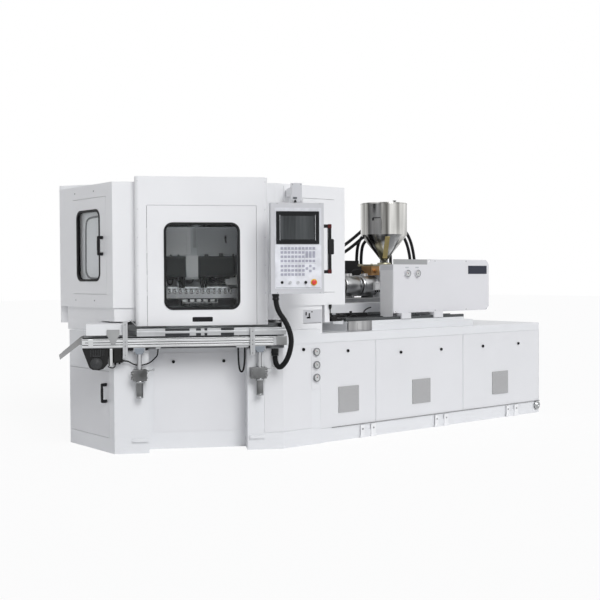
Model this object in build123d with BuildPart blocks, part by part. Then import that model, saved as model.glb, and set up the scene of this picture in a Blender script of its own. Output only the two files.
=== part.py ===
from build123d import *
import math
import os

os.makedirs("parts", exist_ok=True)

# Driving sizes, mm. The origin is on the floor under the axis of the index head.
# +X runs along the injection unit, +Z is up, and the front of the machine looks along -Y.
# Turns of the three stations about the head, as seen from above.
front_turn = -30
blow_turn = -150
injection_turn = 90
left_turn = -90
front_side_turn = 0
rear_side_turn = 180
end_turn = 90

# Base
half_width = 1140
left_reach = 1110
corner_place = 144
station_reach = round(half_width * math.cos(math.radians(30)) - corner_place / 2)
tower_end = 570
tower_height = 1030
deck_height = tower_height - 45
plinth_height = 128
plinth_inset = 14
panel_top = deck_height - 80
side_step = 10
sheet = 4
panel_gap = 3
bay_post = 60
bay_seams = (tower_end + 689, tower_end + 1911)
leg_left = -753
recess_left = -462
recess_right = 382
recess_reach = station_reach - 195
notch_floor = tower_height - 150
notch_reach = station_reach - 315
notch_end = 705
cabinet_rear = 370
cabinet_front = 300
cabinet_depth = 380
cabinet_bottom = 150
cabinet_top = 675
door_rebate = 25
pit_radius = 260
pit_floor = 700
knob_radius = 14

# Tower
wall = 25
wing_left = left_reach - 40
wing_front_reach = station_reach - 88
wing_side = half_width - 100
wing_end = tower_end + 387
wing_bottom = tower_height + 210
wing_top = wing_bottom + 1080
wing_rear_reach = station_reach + 204
nozzle_half = 210
nozzle_top = wing_bottom + 480
bed_thick = 55
hood_half = 570
hood_wall = 30
hood_bottom = tower_height + bed_thick
hood_top = wing_top + 40
hood_depth = 305
rear_hood_reach = station_reach + 235
hood_round = 40
skirt_inset = 15
skirt_end = tower_end + 120
skirt_notch_top = hood_bottom + 37
skirt_rear_reach = wing_rear_reach - 111
service_start = tower_end - 101
service_end = skirt_end - 10
service_bottom = tower_height + 46
service_top = wing_bottom - 40
bed_tongue_half = 430

# Doors and windows
door_gap = 3
station_door_half = 467
station_door_top = hood_bottom + 1027
window_half = 326
window_bottom = hood_bottom + 135
window_top = window_bottom + 749
window_round = 77
seal_width = 20
seal_proud = 4
pane = 6
left_door_rear = 400
left_door_front = -222
left_door_bottom = wing_bottom + 118
left_door_top = left_door_bottom + 844
left_window_rear = 331
left_window_front = -113
left_window_bottom = left_door_bottom + 110
left_window_top = left_door_top - 100
right_door_start = tower_end - 112
right_door_end = right_door_start + 372
handle_height = 150
handle_reach = 55
handle_bar = 18

# Index head and presses
parting_height = hood_bottom + 240
turret_lift = 50
clamp_stroke = 200
rod_radius = 9
rod_pitch = 50
rod_count = 11
rod_length = 145
face_reach = 290
core_bar = 45
head_half = 45
column_radius = 90
sleeve_radius = 150
mould_half = 290
mould_start = face_reach + core_bar + 10
mould_end = mould_start + 230
upper_mould_height = 120
parison_gap = 4.5
bottle_radius = 20
platen_half = 400
platen_inner = 300
platen_outer = 720
platen_thick = 80
tie_bar_radius = 40
tie_bar_side = 330
tie_bar_reach = 640
crown_bottom = parting_height + 675
crown_thick = 80
clamp_rod_radius = 50
running_gap = 0.05
stripper_reach = mould_end - 3
guide_height = parting_height - 35
guide_radius = 12
guide_side = 350

# Take-off conveyor, along the front station
conveyor_left = -1010
conveyor_right = 640
front_beam_reach = station_reach + 80
rear_beam_reach = station_reach - 280
beam_width = 40
beam_bottom = notch_floor + 28
beam_top = beam_bottom + 85
roller_radius = 30
roller_height = beam_bottom + 42
belt_thick = 4
belt_play = 0.3
support_places = (-539, 484)
support_radius = 18
sleeve_tube_radius = 29
support_bottom = 480
support_play = 20
clamp_bottom = 628
clamp_top = 718
post_places = (-655, 417)
post_width = 40

# Injection unit
slab_start = wing_end + 43
slab_wide_start = slab_start + 300
slab_end = slab_wide_start + 1444
slab_half = half_width - 104
slab_top = deck_height + 65
base_end = slab_end + 976
rail_seat = slab_top + 28
rail_height = 28
rail_width = 30
guard_rail_side = slab_half - 51
carriage_rail_side = 300
carriage_half = 380
carriage_bottom = rail_seat + rail_height + 24
carriage_top = carriage_bottom + 95
carriage_start = slab_wide_start
barrel_height = carriage_top + 175
barrel_tip = mould_end + 66
barrel_radius = 60
screw_radius = 30
throat_x = carriage_start + 1160
throat_half = 130
throat_top = barrel_height + 160
carriage_end = throat_x + 470
cylinder_side = 200
cylinder_radius = 55
cylinder_end = carriage_end + 10
crosshead_gap = 20
crosshead_thick = 60
motor_radius = 95
motor_length = 170

# Hopper
hopper_radius = 255
hopper_wall = 3
hopper_neck_top = throat_top + 113
hopper_shoulder = hopper_neck_top + 284
hopper_rim = hopper_shoulder + 335
neck_radius = 34
lid_thick = 12

# Sliding guard
guard_start = carriage_start + 359
guard_end = guard_start + 1422
guard_side = guard_rail_side - 22
guard_depth = 190
guard_bottom = rail_seat + 60
guard_top = guard_bottom + 530
guard_corner = 42
guard_sheet = 4

# Operator panel
pendant_side = 775
pendant_front = station_reach + 335
pendant_depth = 100
pendant_width = 450
pendant_height = 760
pendant_middle = wing_bottom + 496
button_radius = 11
button_stem = 8
button_travel = 4
key_pitch = 30

# Cords and hoses
elbow_side = 620
elbow_height = notch_floor - 34
elbow_radius = 29
elbow_reach = 31
conduit_end = elbow_height - elbow_radius - 1
conduit_diameter = 46
motor_cable_diameter = 12
drain_hose_diameter = 16
hose_diameter = 36


def outward(turn, reach, height=0.0):
    """Point straight out from the head's axis, at one turn, reach and height."""
    return Vector(0, -reach, 0).rotate(Axis.Z, turn) + Vector(0, 0, height)


def facing(turn, reach, height=0.0):
    """Upright plane seen from outside: x to the right, y up, z outwards."""
    right = Vector(1, 0, 0).rotate(Axis.Z, turn)
    return Plane(origin=outward(turn, reach, height), x_dir=right, z_dir=outward(turn, 1))


def level(turn, height=0.0):
    """Flat plane at one height: x to the right along a station, y towards the head."""
    return Plane(origin=(0, 0, height), x_dir=Vector(1, 0, 0).rotate(Axis.Z, turn), z_dir=(0, 0, 1))


def block(plane, low, high, mode=Mode.ADD):
    """Box between two corners given in a plane's own axes."""
    size = [top - bottom for bottom, top in zip(low, high)]
    middle = [(top + bottom) / 2 for bottom, top in zip(low, high)]
    with Locations(plane.location * Location(middle)):
        Box(*size, mode=mode)


def wall_corner(left, reach):
    """Distance from the machine's axis where a station wall meets the left wall."""
    return (reach - left * math.sin(math.radians(30))) / math.cos(math.radians(30))


def side_corner(side, reach):
    """Place along X where a station wall meets a side wall."""
    return (side * math.cos(math.radians(30)) - reach) / math.sin(math.radians(30))


def save(piece, label):
    """Name a finished piece and write its file."""
    piece.part.label = label
    export_step(piece.part, f"parts/{label}.step")


# Tower base: a welded block under the head with a chamfered wall at two stations.
# The front wall has a leg on each side of a knee recess, and a notch for the conveyor.
base_left_y = wall_corner(left_reach, station_reach)
base_corner_x = side_corner(half_width, station_reach)
corner_bottom = 146
corner_left = 527
gauge_plate_start = tower_end - 102
base_door_thick = 5 * sheet
rebate_rear = cabinet_rear + door_rebate
rebate_front = cabinet_front + door_rebate
rebate_bottom = cabinet_bottom - door_rebate
rebate_top = cabinet_top + door_rebate
ledge_spans = ((-601, -471), (400, 531))
ledge_bottom = 100
ledge_height = 28
ledge_depth = 18
with BuildPart() as tower_base:
    with BuildSketch():
        with BuildLine():
            Polyline(
                (-left_reach, -base_left_y), (base_corner_x, -half_width), (tower_end, -half_width),
                (tower_end, half_width), (base_corner_x, half_width), (-left_reach, base_left_y),
                close=True,
            )
        make_face()
    extrude(amount=tower_height)
    far = 2 * base_end
    block(level(front_turn), (-far, -far, notch_floor), (notch_end, -notch_reach, far), mode=Mode.SUBTRACT)
    block(level(front_turn), (recess_left, -far, -1), (recess_right, -recess_reach, notch_floor + 1),
          mode=Mode.SUBTRACT)
    block(facing(left_turn, left_reach), (-cabinet_rear, cabinet_bottom, -cabinet_depth),
          (cabinet_front, cabinet_top, 1), mode=Mode.SUBTRACT)
    with Locations((0, 0, pit_floor)):
        Cylinder(pit_radius, tower_height, align=(Align.CENTER, Align.CENTER, Align.MIN), mode=Mode.SUBTRACT)
    block(facing(left_turn, left_reach), (-rebate_rear, rebate_bottom, -base_door_thick),
          (rebate_front, rebate_top, 1), mode=Mode.SUBTRACT)
    block(level(front_turn), (corner_left, -station_reach - 1, corner_bottom),
          (notch_end + 300, -station_reach + sheet, notch_floor), mode=Mode.SUBTRACT)
    block(level(front_side_turn), (0, -half_width - 1, corner_bottom),
          (tower_end + 1, -half_width + sheet, panel_top), mode=Mode.SUBTRACT)
    for start, end in ledge_spans:
        block(level(front_turn), (start, -station_reach - ledge_depth, ledge_bottom),
              (end, -station_reach, ledge_bottom + ledge_height))
save(tower_base, "tower_base")

# Injection base: a long welded box with an open bay at each end and a tank between them.
long_half = half_width - side_step
bay_edges = (tower_end, *bay_seams, base_end)
bay_margin = 20
foot_places = (tower_end + 570, tower_end + 1571, tower_end + 2669)
foot_width = 90
foot_depth = 10
foot_height = 70
with BuildPart() as injection_base:
    with Locations(((tower_end + base_end) / 2, 0, 0)):
        Box(base_end - tower_end, 2 * long_half, deck_height, align=(Align.CENTER, Align.CENTER, Align.MIN))
    for start, end in zip(bay_edges, bay_edges[1:]):
        for turn in (front_side_turn, rear_side_turn):
            low = start if turn == front_side_turn else -end
            high = end if turn == front_side_turn else -start
            block(level(turn), (low + panel_gap, -long_half - 1, plinth_height),
                  (high - panel_gap, -long_half + sheet, panel_top), mode=Mode.SUBTRACT)
    for start, end in ((tower_end, bay_seams[0]), (bay_seams[1], base_end)):
        block(Plane.XY, (start + bay_post, -long_half - 1, plinth_height + bay_margin),
              (end - bay_post, long_half + 1, panel_top - bay_margin), mode=Mode.SUBTRACT)
    for foot in foot_places:
        for side in (-1, 1):
            with Locations((foot, side * (long_half + foot_depth / 2), 0)):
                Box(foot_width, foot_depth, foot_height, align=(Align.CENTER, Align.CENTER, Align.MIN))
save(injection_base, "injection_base")

# Base panels: removable steel sheets, set flush into the base and held by quarter turns.
vent_width = 248
vent_bottom = 256
vent_height = 236
vent_places = (tower_end + 343, tower_end + 1300, tower_end + 2489)
gauge_plate_bottom = 488
recess_margin = 40
panel_mid_reach = station_reach - sheet / 2
with BuildPart() as base_panels:
    for turn in (front_side_turn, rear_side_turn):
        for start, end, vent in zip(bay_edges, bay_edges[1:], vent_places):
            sign = 1 if turn == front_side_turn else -1
            low, high = sorted((sign * start, sign * end))
            block(level(turn), (low + 2 * panel_gap, -long_half, plinth_height + panel_gap),
                  (high - 2 * panel_gap, -long_half + sheet, panel_top - panel_gap))
            block(level(turn), (sign * vent - vent_width / 2, -long_half - 1, vent_bottom),
                  (sign * vent + vent_width / 2, -long_half + sheet, vent_bottom + vent_height),
                  mode=Mode.SUBTRACT)
    block(level(front_turn), (recess_left + recess_margin, -recess_reach - sheet, corner_bottom),
          (recess_right - recess_margin, -recess_reach, notch_floor - recess_margin))
    with BuildSketch(Plane.XY.offset(corner_bottom + panel_gap)):
        with BuildLine():
            bend = Polyline(
                level(front_turn).from_local_coords(Vector(corner_left + panel_gap, -panel_mid_reach)),
                (side_corner(half_width - sheet / 2, panel_mid_reach), -half_width + sheet / 2),
                (gauge_plate_start - panel_gap, -half_width + sheet / 2),
            )
            offset(bend, amount=sheet / 2, side=Side.BOTH)
        make_face()
    extrude(amount=notch_floor - corner_bottom - 2 * panel_gap)
    block(level(front_side_turn), (gauge_plate_start, -half_width, gauge_plate_bottom),
          (tower_end - 5, -half_width + sheet, notch_floor - 17))
    with BuildSketch(facing(front_turn, station_reach, elbow_height)):
        with Locations((elbow_side, 0)):
            Circle(elbow_radius)
    extrude(amount=elbow_reach)
    with BuildSketch(level(front_turn, conduit_end)):
        with Locations((elbow_side, -station_reach - elbow_reach)):
            Circle(elbow_radius)
    extrude(amount=elbow_height + elbow_radius - conduit_end)
save(base_panels, "base_panels")

# Vent grilles: steel louvre frames, each set into a cut-out of a base panel.
slat_count = 20
grille_rim = 14
grille_depth = 12
slat_space = (vent_height - 2 * grille_rim) / slat_count
with BuildPart() as vent_grilles:
    for turn in (front_side_turn, rear_side_turn):
        sign = 1 if turn == front_side_turn else -1
        for vent in vent_places:
            face = facing(turn, long_half - sheet)
            face = face.move(Location((sign * vent, vent_bottom + vent_height / 2, 0)))
            with BuildSketch(face):
                Rectangle(vent_width, vent_height)
                with GridLocations(0, slat_space, 1, slat_count):
                    Rectangle(vent_width - 2 * grille_rim, 0.3 * slat_space, mode=Mode.SUBTRACT)
            extrude(amount=grille_depth)
save(vent_grilles, "vent_grilles")

# Quarter-turn knobs that hold the base panels.
long_panel_knobs = ((338, 817), (1020, 769), (1585, 769), (2215, 770), (2790, 772))
recess_knobs = ((-247, 762), (194, 762))
corner_knob = (gauge_plate_start - 96, 855)
knob_depth = 10
with BuildPart() as panel_knobs:
    knob_faces = [(facing(front_turn, recess_reach + sheet), x, z) for x, z in recess_knobs]
    knob_faces.append((facing(front_side_turn, half_width), *corner_knob))
    for turn in (front_side_turn, rear_side_turn):
        sign = 1 if turn == front_side_turn else -1
        knob_faces += [(facing(turn, long_half), sign * (tower_end + x), z) for x, z in long_panel_knobs]
    for face, along, height in knob_faces:
        with BuildSketch(face):
            with Locations((along, height)):
                Circle(knob_radius)
        extrude(amount=knob_depth)
        with BuildSketch(face.offset(knob_depth)):
            with Locations((along, height)):
                SlotOverall(1.6 * knob_radius, knob_radius / 2, rotation=90)
        extrude(amount=knob_depth)
save(panel_knobs, "panel_knobs")

# Round pressure gauges on the narrow plate beside the tower's corner.
gauge_radius = 33
gauge_depth = 22
gauge_places = [(tower_end - 55, height) for height in (828, 710, 597)]
with BuildPart() as gauges:
    with BuildSketch(facing(front_side_turn, half_width)):
        with Locations(*gauge_places):
            Circle(gauge_radius)
    extrude(amount=gauge_depth)
    with BuildSketch(facing(front_side_turn, half_width + gauge_depth)):
        with Locations(*gauge_places):
            Circle(gauge_radius - 4)
    extrude(amount=-4, mode=Mode.SUBTRACT)
save(gauges, "gauges")

# Base door on the left wall, hinged at its rear edge, with a black bow handle.
base_door_face = facing(left_turn, left_reach)
with BuildPart() as base_door:
    block(base_door_face, (-rebate_rear, rebate_bottom + door_gap, -base_door_thick),
          (rebate_front - door_gap, rebate_top - door_gap, 0))
save(base_door, "base_door")


def bow_handle(face, along, middle, length, reach, bar):
    """Bow handle: two posts and a grip, standing on a wall's plane."""
    with BuildPart() as handle:
        with BuildSketch(face.offset(reach - bar)):
            with Locations((along, middle)):
                SlotOverall(length, bar, rotation=90)
        extrude(amount=bar)
        with BuildSketch(face):
            with Locations((along, middle)):
                with GridLocations(0, length - 1.2 * bar, 1, 2):
                    Circle(0.45 * bar)
        extrude(amount=reach - bar / 2)
    return handle


base_door_handle = bow_handle(base_door_face, 284, 512, handle_height + 18, handle_reach, handle_bar)
save(base_door_handle, "base_door_handle")


# Tower: a skirt on the base and a larger double-skinned shell above it.
def tower_ring(left, front_reach, side, end, rear_reach, thick, bottom, top):
    """Closed wall ring of the tower's outline between two heights."""
    with BuildSketch(Plane.XY.offset(bottom)) as ring:
        for inset, mode in ((0, Mode.ADD), (thick, Mode.SUBTRACT)):
            edge_left = left - inset
            reach_front = front_reach - inset
            reach_rear = rear_reach - inset
            edge_side = side - inset
            edge_end = end - inset
            with BuildLine():
                Polyline(
                    (-edge_left, -wall_corner(edge_left, reach_front)),
                    (side_corner(edge_side, reach_front), -edge_side), (edge_end, -edge_side),
                    (edge_end, edge_side), (side_corner(edge_side, reach_rear), edge_side),
                    (-edge_left, wall_corner(edge_left, reach_rear)), close=True,
                )
            make_face(mode=mode)
    extrude(ring.sketch, amount=top - bottom)


hood_back = station_reach - hood_depth
with BuildPart() as tower_skirt:
    tower_ring(wing_left - skirt_inset, wing_front_reach - skirt_inset, wing_side - skirt_inset,
               skirt_end, skirt_rear_reach, wall, deck_height, wing_bottom)
    block(Plane.XY, (-far, -far, 0), (tower_end, far, tower_height), mode=Mode.SUBTRACT)
    block(level(front_turn), (-far, -far, 0), (notch_end, -hood_back, skirt_notch_top), mode=Mode.SUBTRACT)
    block(level(front_turn), (-hood_half, -far, 0), (hood_half, -hood_back, far), mode=Mode.SUBTRACT)
    block(level(blow_turn), (-hood_half, -far, 0), (hood_half, -hood_back, far), mode=Mode.SUBTRACT)
    block(Plane.XY, (service_start, -wing_side, service_bottom),
          (service_end, -wing_side + skirt_inset + wall / 2, service_top), mode=Mode.SUBTRACT)
    block(Plane.XY, (tower_end, -bed_tongue_half, 0), (skirt_end + 1, bed_tongue_half, wing_bottom + 1),
          mode=Mode.SUBTRACT)
save(tower_skirt, "tower_skirt")

post_start = skirt_end + 22
post_end = post_start + 59
post_bottom = tower_height + 52
with BuildPart() as tower_shell:
    tower_ring(wing_left, wing_front_reach, wing_side, wing_end, wing_rear_reach, wall, wing_bottom,
               wing_top - wall)
    with BuildSketch(Plane.XY.offset(wing_top - wall)):
        with BuildLine():
            Polyline(
                (-wing_left, -wall_corner(wing_left, wing_front_reach)),
                (side_corner(wing_side, wing_front_reach), -wing_side),
                (wing_end, -wing_side), (wing_end, wing_side),
                (side_corner(wing_side, wing_rear_reach), wing_side),
                (-wing_left, wall_corner(wing_left, wing_rear_reach)), close=True,
            )
        make_face()
    extrude(amount=wall)
    for turn in (front_turn, blow_turn):
        block(level(turn), (-hood_half, -far, 0), (hood_half, -hood_back, far), mode=Mode.SUBTRACT)
    block(facing(left_turn, wing_left), (-left_door_rear, left_door_bottom - door_gap, -2 * wall),
          (-left_door_front + door_gap, left_door_top + door_gap, 1), mode=Mode.SUBTRACT)
    block(facing(front_side_turn, wing_side),
          (right_door_start - door_gap, left_door_bottom - door_gap, -2 * wall),
          (right_door_end, left_door_top + door_gap, 1), mode=Mode.SUBTRACT)
    block(Plane.XY, (wing_end - 2 * wall, -nozzle_half, 0), (wing_end + 1, nozzle_half, nozzle_top),
          mode=Mode.SUBTRACT)
    block(Plane.XY, (skirt_end, wall - wing_side, wing_bottom),
          (wing_end - wall, wing_side - wall, wing_bottom + wall))
    block(Plane.XY, (post_start, 5 - wing_side, post_bottom), (post_end, 55 - wing_side, wing_bottom + 1))
save(tower_shell, "tower_shell")


def station_hood(turn, reach):
    """Deep hood over a station: a box open below, behind and at its door."""
    with BuildPart() as hood:
        block(level(turn), (-hood_half, -reach, hood_bottom), (hood_half, -hood_back, hood_top))
        corners = hood.edges().filter_by(Axis.Z).sort_by(SortBy.DISTANCE, reverse=True)[0:2]
        fillet(corners, hood_round)
        block(level(turn), (-hood_half + hood_wall, -reach + hood_wall, hood_bottom - 1),
              (hood_half - hood_wall, -hood_back + 1, hood_top - hood_wall), mode=Mode.SUBTRACT)
        block(level(turn), (-station_door_half - door_gap, -reach - 1, hood_bottom - 1),
              (station_door_half + door_gap, -reach + hood_wall + 1, station_door_top), mode=Mode.SUBTRACT)
    return hood


def window_frame(face, left, right, bottom, top, inset, depth, thick):
    """Rounded window outline, drawn into a wall's plane and raised by a depth."""
    with BuildSketch(face.offset(depth)) as outline:
        with Locations(((left + right) / 2, (bottom + top) / 2)):
            RectangleRounded(right - left - 2 * inset, top - bottom - 2 * inset, window_round - inset)
    return extrude(outline.sketch, amount=thick, mode=Mode.PRIVATE)


def windowed_door(face, edges, window, thick):
    """Door leaf with a rounded window, its rubber seal and its clear pane."""
    left, right, bottom, top = edges
    with BuildPart() as leaf:
        block(face, (left, bottom, -thick), (right, top, 0))
        add(window_frame(face, *window, 0, -thick, thick), mode=Mode.SUBTRACT)
    with BuildPart() as seal:
        add(window_frame(face, *window, 0, -thick - seal_proud, thick + 2 * seal_proud))
        add(window_frame(face, *window, seal_width, -thick - seal_proud, thick + 2 * seal_proud),
            mode=Mode.SUBTRACT)
    with BuildPart() as glass:
        add(window_frame(face, *window, seal_width, -(thick + pane) / 2, pane))
    return leaf, seal, glass


front_hood = station_hood(front_turn, station_reach)
save(front_hood, "front_hood")
rear_hood = station_hood(blow_turn, rear_hood_reach)
save(rear_hood, "rear_hood")

station_window = (-window_half, window_half, window_bottom, window_top)
station_door_edges = (-station_door_half, station_door_half, hood_bottom, station_door_top)
pull_width = 175
pull_bottom = hood_bottom + 32
pull_height = 41
for label, turn, reach in (("front", front_turn, station_reach), ("rear", blow_turn, rear_hood_reach)):
    face = facing(turn, reach)
    leaf, seal, glass = windowed_door(face, station_door_edges, station_window, hood_wall)
    with BuildPart() as station_door:
        add(leaf.part)
        with BuildSketch(face):
            with Locations((0, pull_bottom + pull_height / 2)):
                RectangleRounded(pull_width, pull_height, 8)
        extrude(amount=-hood_wall * 0.7, mode=Mode.SUBTRACT)
    save(station_door, f"{label}_door")
    save(seal, f"{label}_seal")
    save(glass, f"{label}_pane")

left_face = facing(left_turn, wing_left)
left_window = (-left_window_rear, -left_window_front, left_window_bottom, left_window_top)
left_door_edges = (-left_door_rear, -left_door_front, left_door_bottom, left_door_top)
left_door, left_seal, left_pane = windowed_door(left_face, left_door_edges, left_window, wall)
save(left_door, "left_door")
save(left_seal, "left_seal")
save(left_pane, "left_pane")
left_handle = bow_handle(left_face, 166, left_door_bottom + 419, handle_height + 18, handle_reach, handle_bar)
save(left_handle, "left_handle")

with BuildPart() as right_door:
    block(facing(front_side_turn, wing_side), (right_door_start, left_door_bottom, -wall),
          (right_door_end, left_door_top, 0))
save(right_door, "right_door")

# Machine bed: a thick steel plate on the base, with a bore for the index sleeve.
bed_top = tower_height + bed_thick
bed_left = left_reach - 210
bed_front_reach = station_reach - 325
bed_side = half_width - 280
bed_rear_reach = station_reach - 155
bed_end = wing_end - 57
with BuildPart() as machine_bed:
    with BuildSketch(Plane.XY.offset(tower_height)):
        with BuildLine():
            Polyline(
                (-bed_left, -wall_corner(bed_left, bed_front_reach)),
                (side_corner(bed_side, bed_front_reach), -bed_side),
                (tower_end, -bed_side), (tower_end, -bed_tongue_half), (bed_end, -bed_tongue_half),
                (bed_end, bed_tongue_half), (tower_end, bed_tongue_half), (tower_end, bed_side),
                (side_corner(bed_side, bed_rear_reach), bed_side),
                (-bed_left, wall_corner(bed_left, bed_rear_reach)),
                close=True,
            )
        make_face()
    extrude(amount=bed_thick)
    block(Plane.XY, (tower_end, -bed_tongue_half, deck_height), (bed_end, bed_tongue_half, tower_height))
    Cylinder(sleeve_radius + running_gap, 2 * bed_top, mode=Mode.SUBTRACT)
save(machine_bed, "machine_bed")

# Press frame: fixed column, four tie bars with nuts, the crown plate and two clamp cylinders.
press_reach = 450
press_turns = (injection_turn, blow_turn)
cylinder_barrel = 110
cylinder_top = wing_top - wall - 10
rod_top = cylinder_top - 25


def tie_bar_spots(turn, height):
    """Places of the two tie bars of a press at one height."""
    spots = [Location((side * tie_bar_side, -tie_bar_reach, height)) for side in (-1, 1)]
    return [level(turn).location * spot for spot in spots]


with BuildPart() as press_frame:
    for turn in press_turns:
        block(level(turn), (-platen_half, -platen_outer, crown_bottom),
              (platen_half, 0, crown_bottom + crown_thick))
        with Locations(*tie_bar_spots(turn, bed_top)):
            Cylinder(tie_bar_radius, crown_bottom - bed_top, align=(Align.CENTER, Align.CENTER, Align.MIN))
        with BuildSketch(level(turn, crown_bottom + crown_thick)):
            with Locations((-tie_bar_side, -tie_bar_reach), (tie_bar_side, -tie_bar_reach)):
                RegularPolygon(1.4 * tie_bar_radius, 6)
        extrude(amount=tie_bar_radius)
        with Locations(level(turn).location * Location((0, -press_reach, crown_bottom + crown_thick))):
            Cylinder(cylinder_barrel, cylinder_top - crown_bottom - crown_thick,
                     align=(Align.CENTER, Align.CENTER, Align.MIN))
        with Locations(level(turn).location * Location((0, -press_reach, crown_bottom))):
            Cylinder(clamp_rod_radius + running_gap, rod_top + 10 - crown_bottom,
                     align=(Align.CENTER, Align.CENTER, Align.MIN), mode=Mode.SUBTRACT)
    with Locations((0, 0, pit_floor)):
        Cylinder(column_radius, crown_bottom - pit_floor, align=(Align.CENTER, Align.CENTER, Align.MIN))
save(press_frame, "press_frame")


def cavity_row(turn, height, radius, length):
    """Row of round cavities that lie along a station, cut into a mould half."""
    with BuildSketch(facing(turn, mould_start, height)) as row:
        with GridLocations(rod_pitch, 0, rod_count, 1):
            Circle(radius)
    extrude(row.sketch, amount=length, mode=Mode.SUBTRACT)


# Lower mould halves on the bed, and the hot manifold that the nozzle meets.
cavity_sizes = {injection_turn: rod_radius + parison_gap, blow_turn: bottle_radius}
manifold_half = 260
manifold_depth = barrel_tip - 1 - mould_end
manifold_bottom = barrel_height - 140
manifold_top = barrel_height + 30
with BuildPart() as lower_moulds:
    for turn in press_turns:
        block(level(turn), (-mould_half, -mould_end, bed_top), (mould_half, -mould_start, parting_height))
        cavity_row(turn, parting_height, cavity_sizes[turn], rod_length + 10)
    block(level(injection_turn), (-manifold_half, -mould_end - manifold_depth, manifold_bottom),
          (manifold_half, -mould_end, manifold_top))
save(lower_moulds, "lower_moulds")

# Moving platens with their upper mould halves and clamp rods, open at rest.
platen_bottom = parting_height + clamp_stroke + upper_mould_height
for turn, label in zip(press_turns, ("injection_platen", "blow_platen")):
    with BuildPart() as platen:
        block(level(turn), (-mould_half, -mould_end + 5, parting_height + clamp_stroke),
              (mould_half, -mould_start, platen_bottom))
        cavity_row(turn, parting_height + clamp_stroke, cavity_sizes[turn], rod_length + 10)
        block(level(turn), (-platen_half, -platen_outer, platen_bottom),
              (platen_half, -platen_inner, platen_bottom + platen_thick))
        with Locations(*tie_bar_spots(turn, platen_bottom)):
            Cylinder(tie_bar_radius + running_gap, 3 * platen_thick, mode=Mode.SUBTRACT)
        with Locations(level(turn).location * Location((0, -press_reach, platen_bottom + platen_thick))):
            Cylinder(clamp_rod_radius, rod_top - platen_bottom - platen_thick,
                     align=(Align.CENTER, Align.CENTER, Align.MIN))
    save(platen, label)

# Index sleeve that lifts the head, and the three-sided head that turns on it.
head_height = parting_height + turret_lift
head_bottom = head_height - head_half
sleeve_length = 450
flange_radius = 190
with BuildPart() as index_sleeve:
    with BuildSketch(Plane.XY.offset(head_bottom - sleeve_length)):
        Circle(sleeve_radius)
        Circle(column_radius + running_gap, mode=Mode.SUBTRACT)
    extrude(amount=sleeve_length)
    with BuildSketch(Plane.XY.offset(head_bottom - 20)):
        Circle(flange_radius)
        Circle(sleeve_radius - 1, mode=Mode.SUBTRACT)
    extrude(amount=20)
save(index_sleeve, "index_sleeve")

core_bar_half = 280
dome_radius = 190
dome_height = 60
with BuildPart() as turret_head:
    with BuildSketch(Plane.XY.offset(head_bottom)):
        with BuildLine():
            corners = []
            for turn in (injection_turn, blow_turn, front_turn):
                for side in (-1, 1):
                    corners.append(level(turn).from_local_coords(Vector(side * core_bar_half, -face_reach)))
            Polyline(*[(corner.X, corner.Y) for corner in corners], close=True)
        make_face()
    extrude(amount=2 * head_half)
    with BuildSketch(Plane.XY.offset(head_bottom + 2 * head_half)):
        Circle(dome_radius)
    extrude(amount=dome_height)
    chamfer(turret_head.faces().sort_by(Axis.Z)[-1].edges(), dome_height / 2)
    with BuildSketch(Plane.XY.offset(head_bottom + 2 * head_half)):
        with PolarLocations(250, 3, start_angle=90 + front_turn):
            Circle(32)
    extrude(amount=-1.2 * head_half, mode=Mode.SUBTRACT)
    Cylinder(column_radius + running_gap, 3 * head_height, mode=Mode.SUBTRACT)
save(turret_head, "turret_head")

# Core rods: on each side of the head a bar with a row of polished rods.
core_bar_height = 70
collar = 12
with BuildPart() as core_rods:
    for turn in (injection_turn, blow_turn, front_turn):
        block(level(turn), (-core_bar_half, -face_reach - core_bar, head_height - core_bar_height / 2),
              (core_bar_half, -face_reach, head_height + core_bar_height / 2))
        for radius, length in ((rod_radius + 4, collar), (rod_radius, rod_length)):
            with BuildSketch(facing(turn, face_reach + core_bar, head_height)):
                with GridLocations(rod_pitch, 0, rod_count, 1):
                    Circle(radius)
            extrude(amount=length)
save(core_rods, "core_rods")

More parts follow.
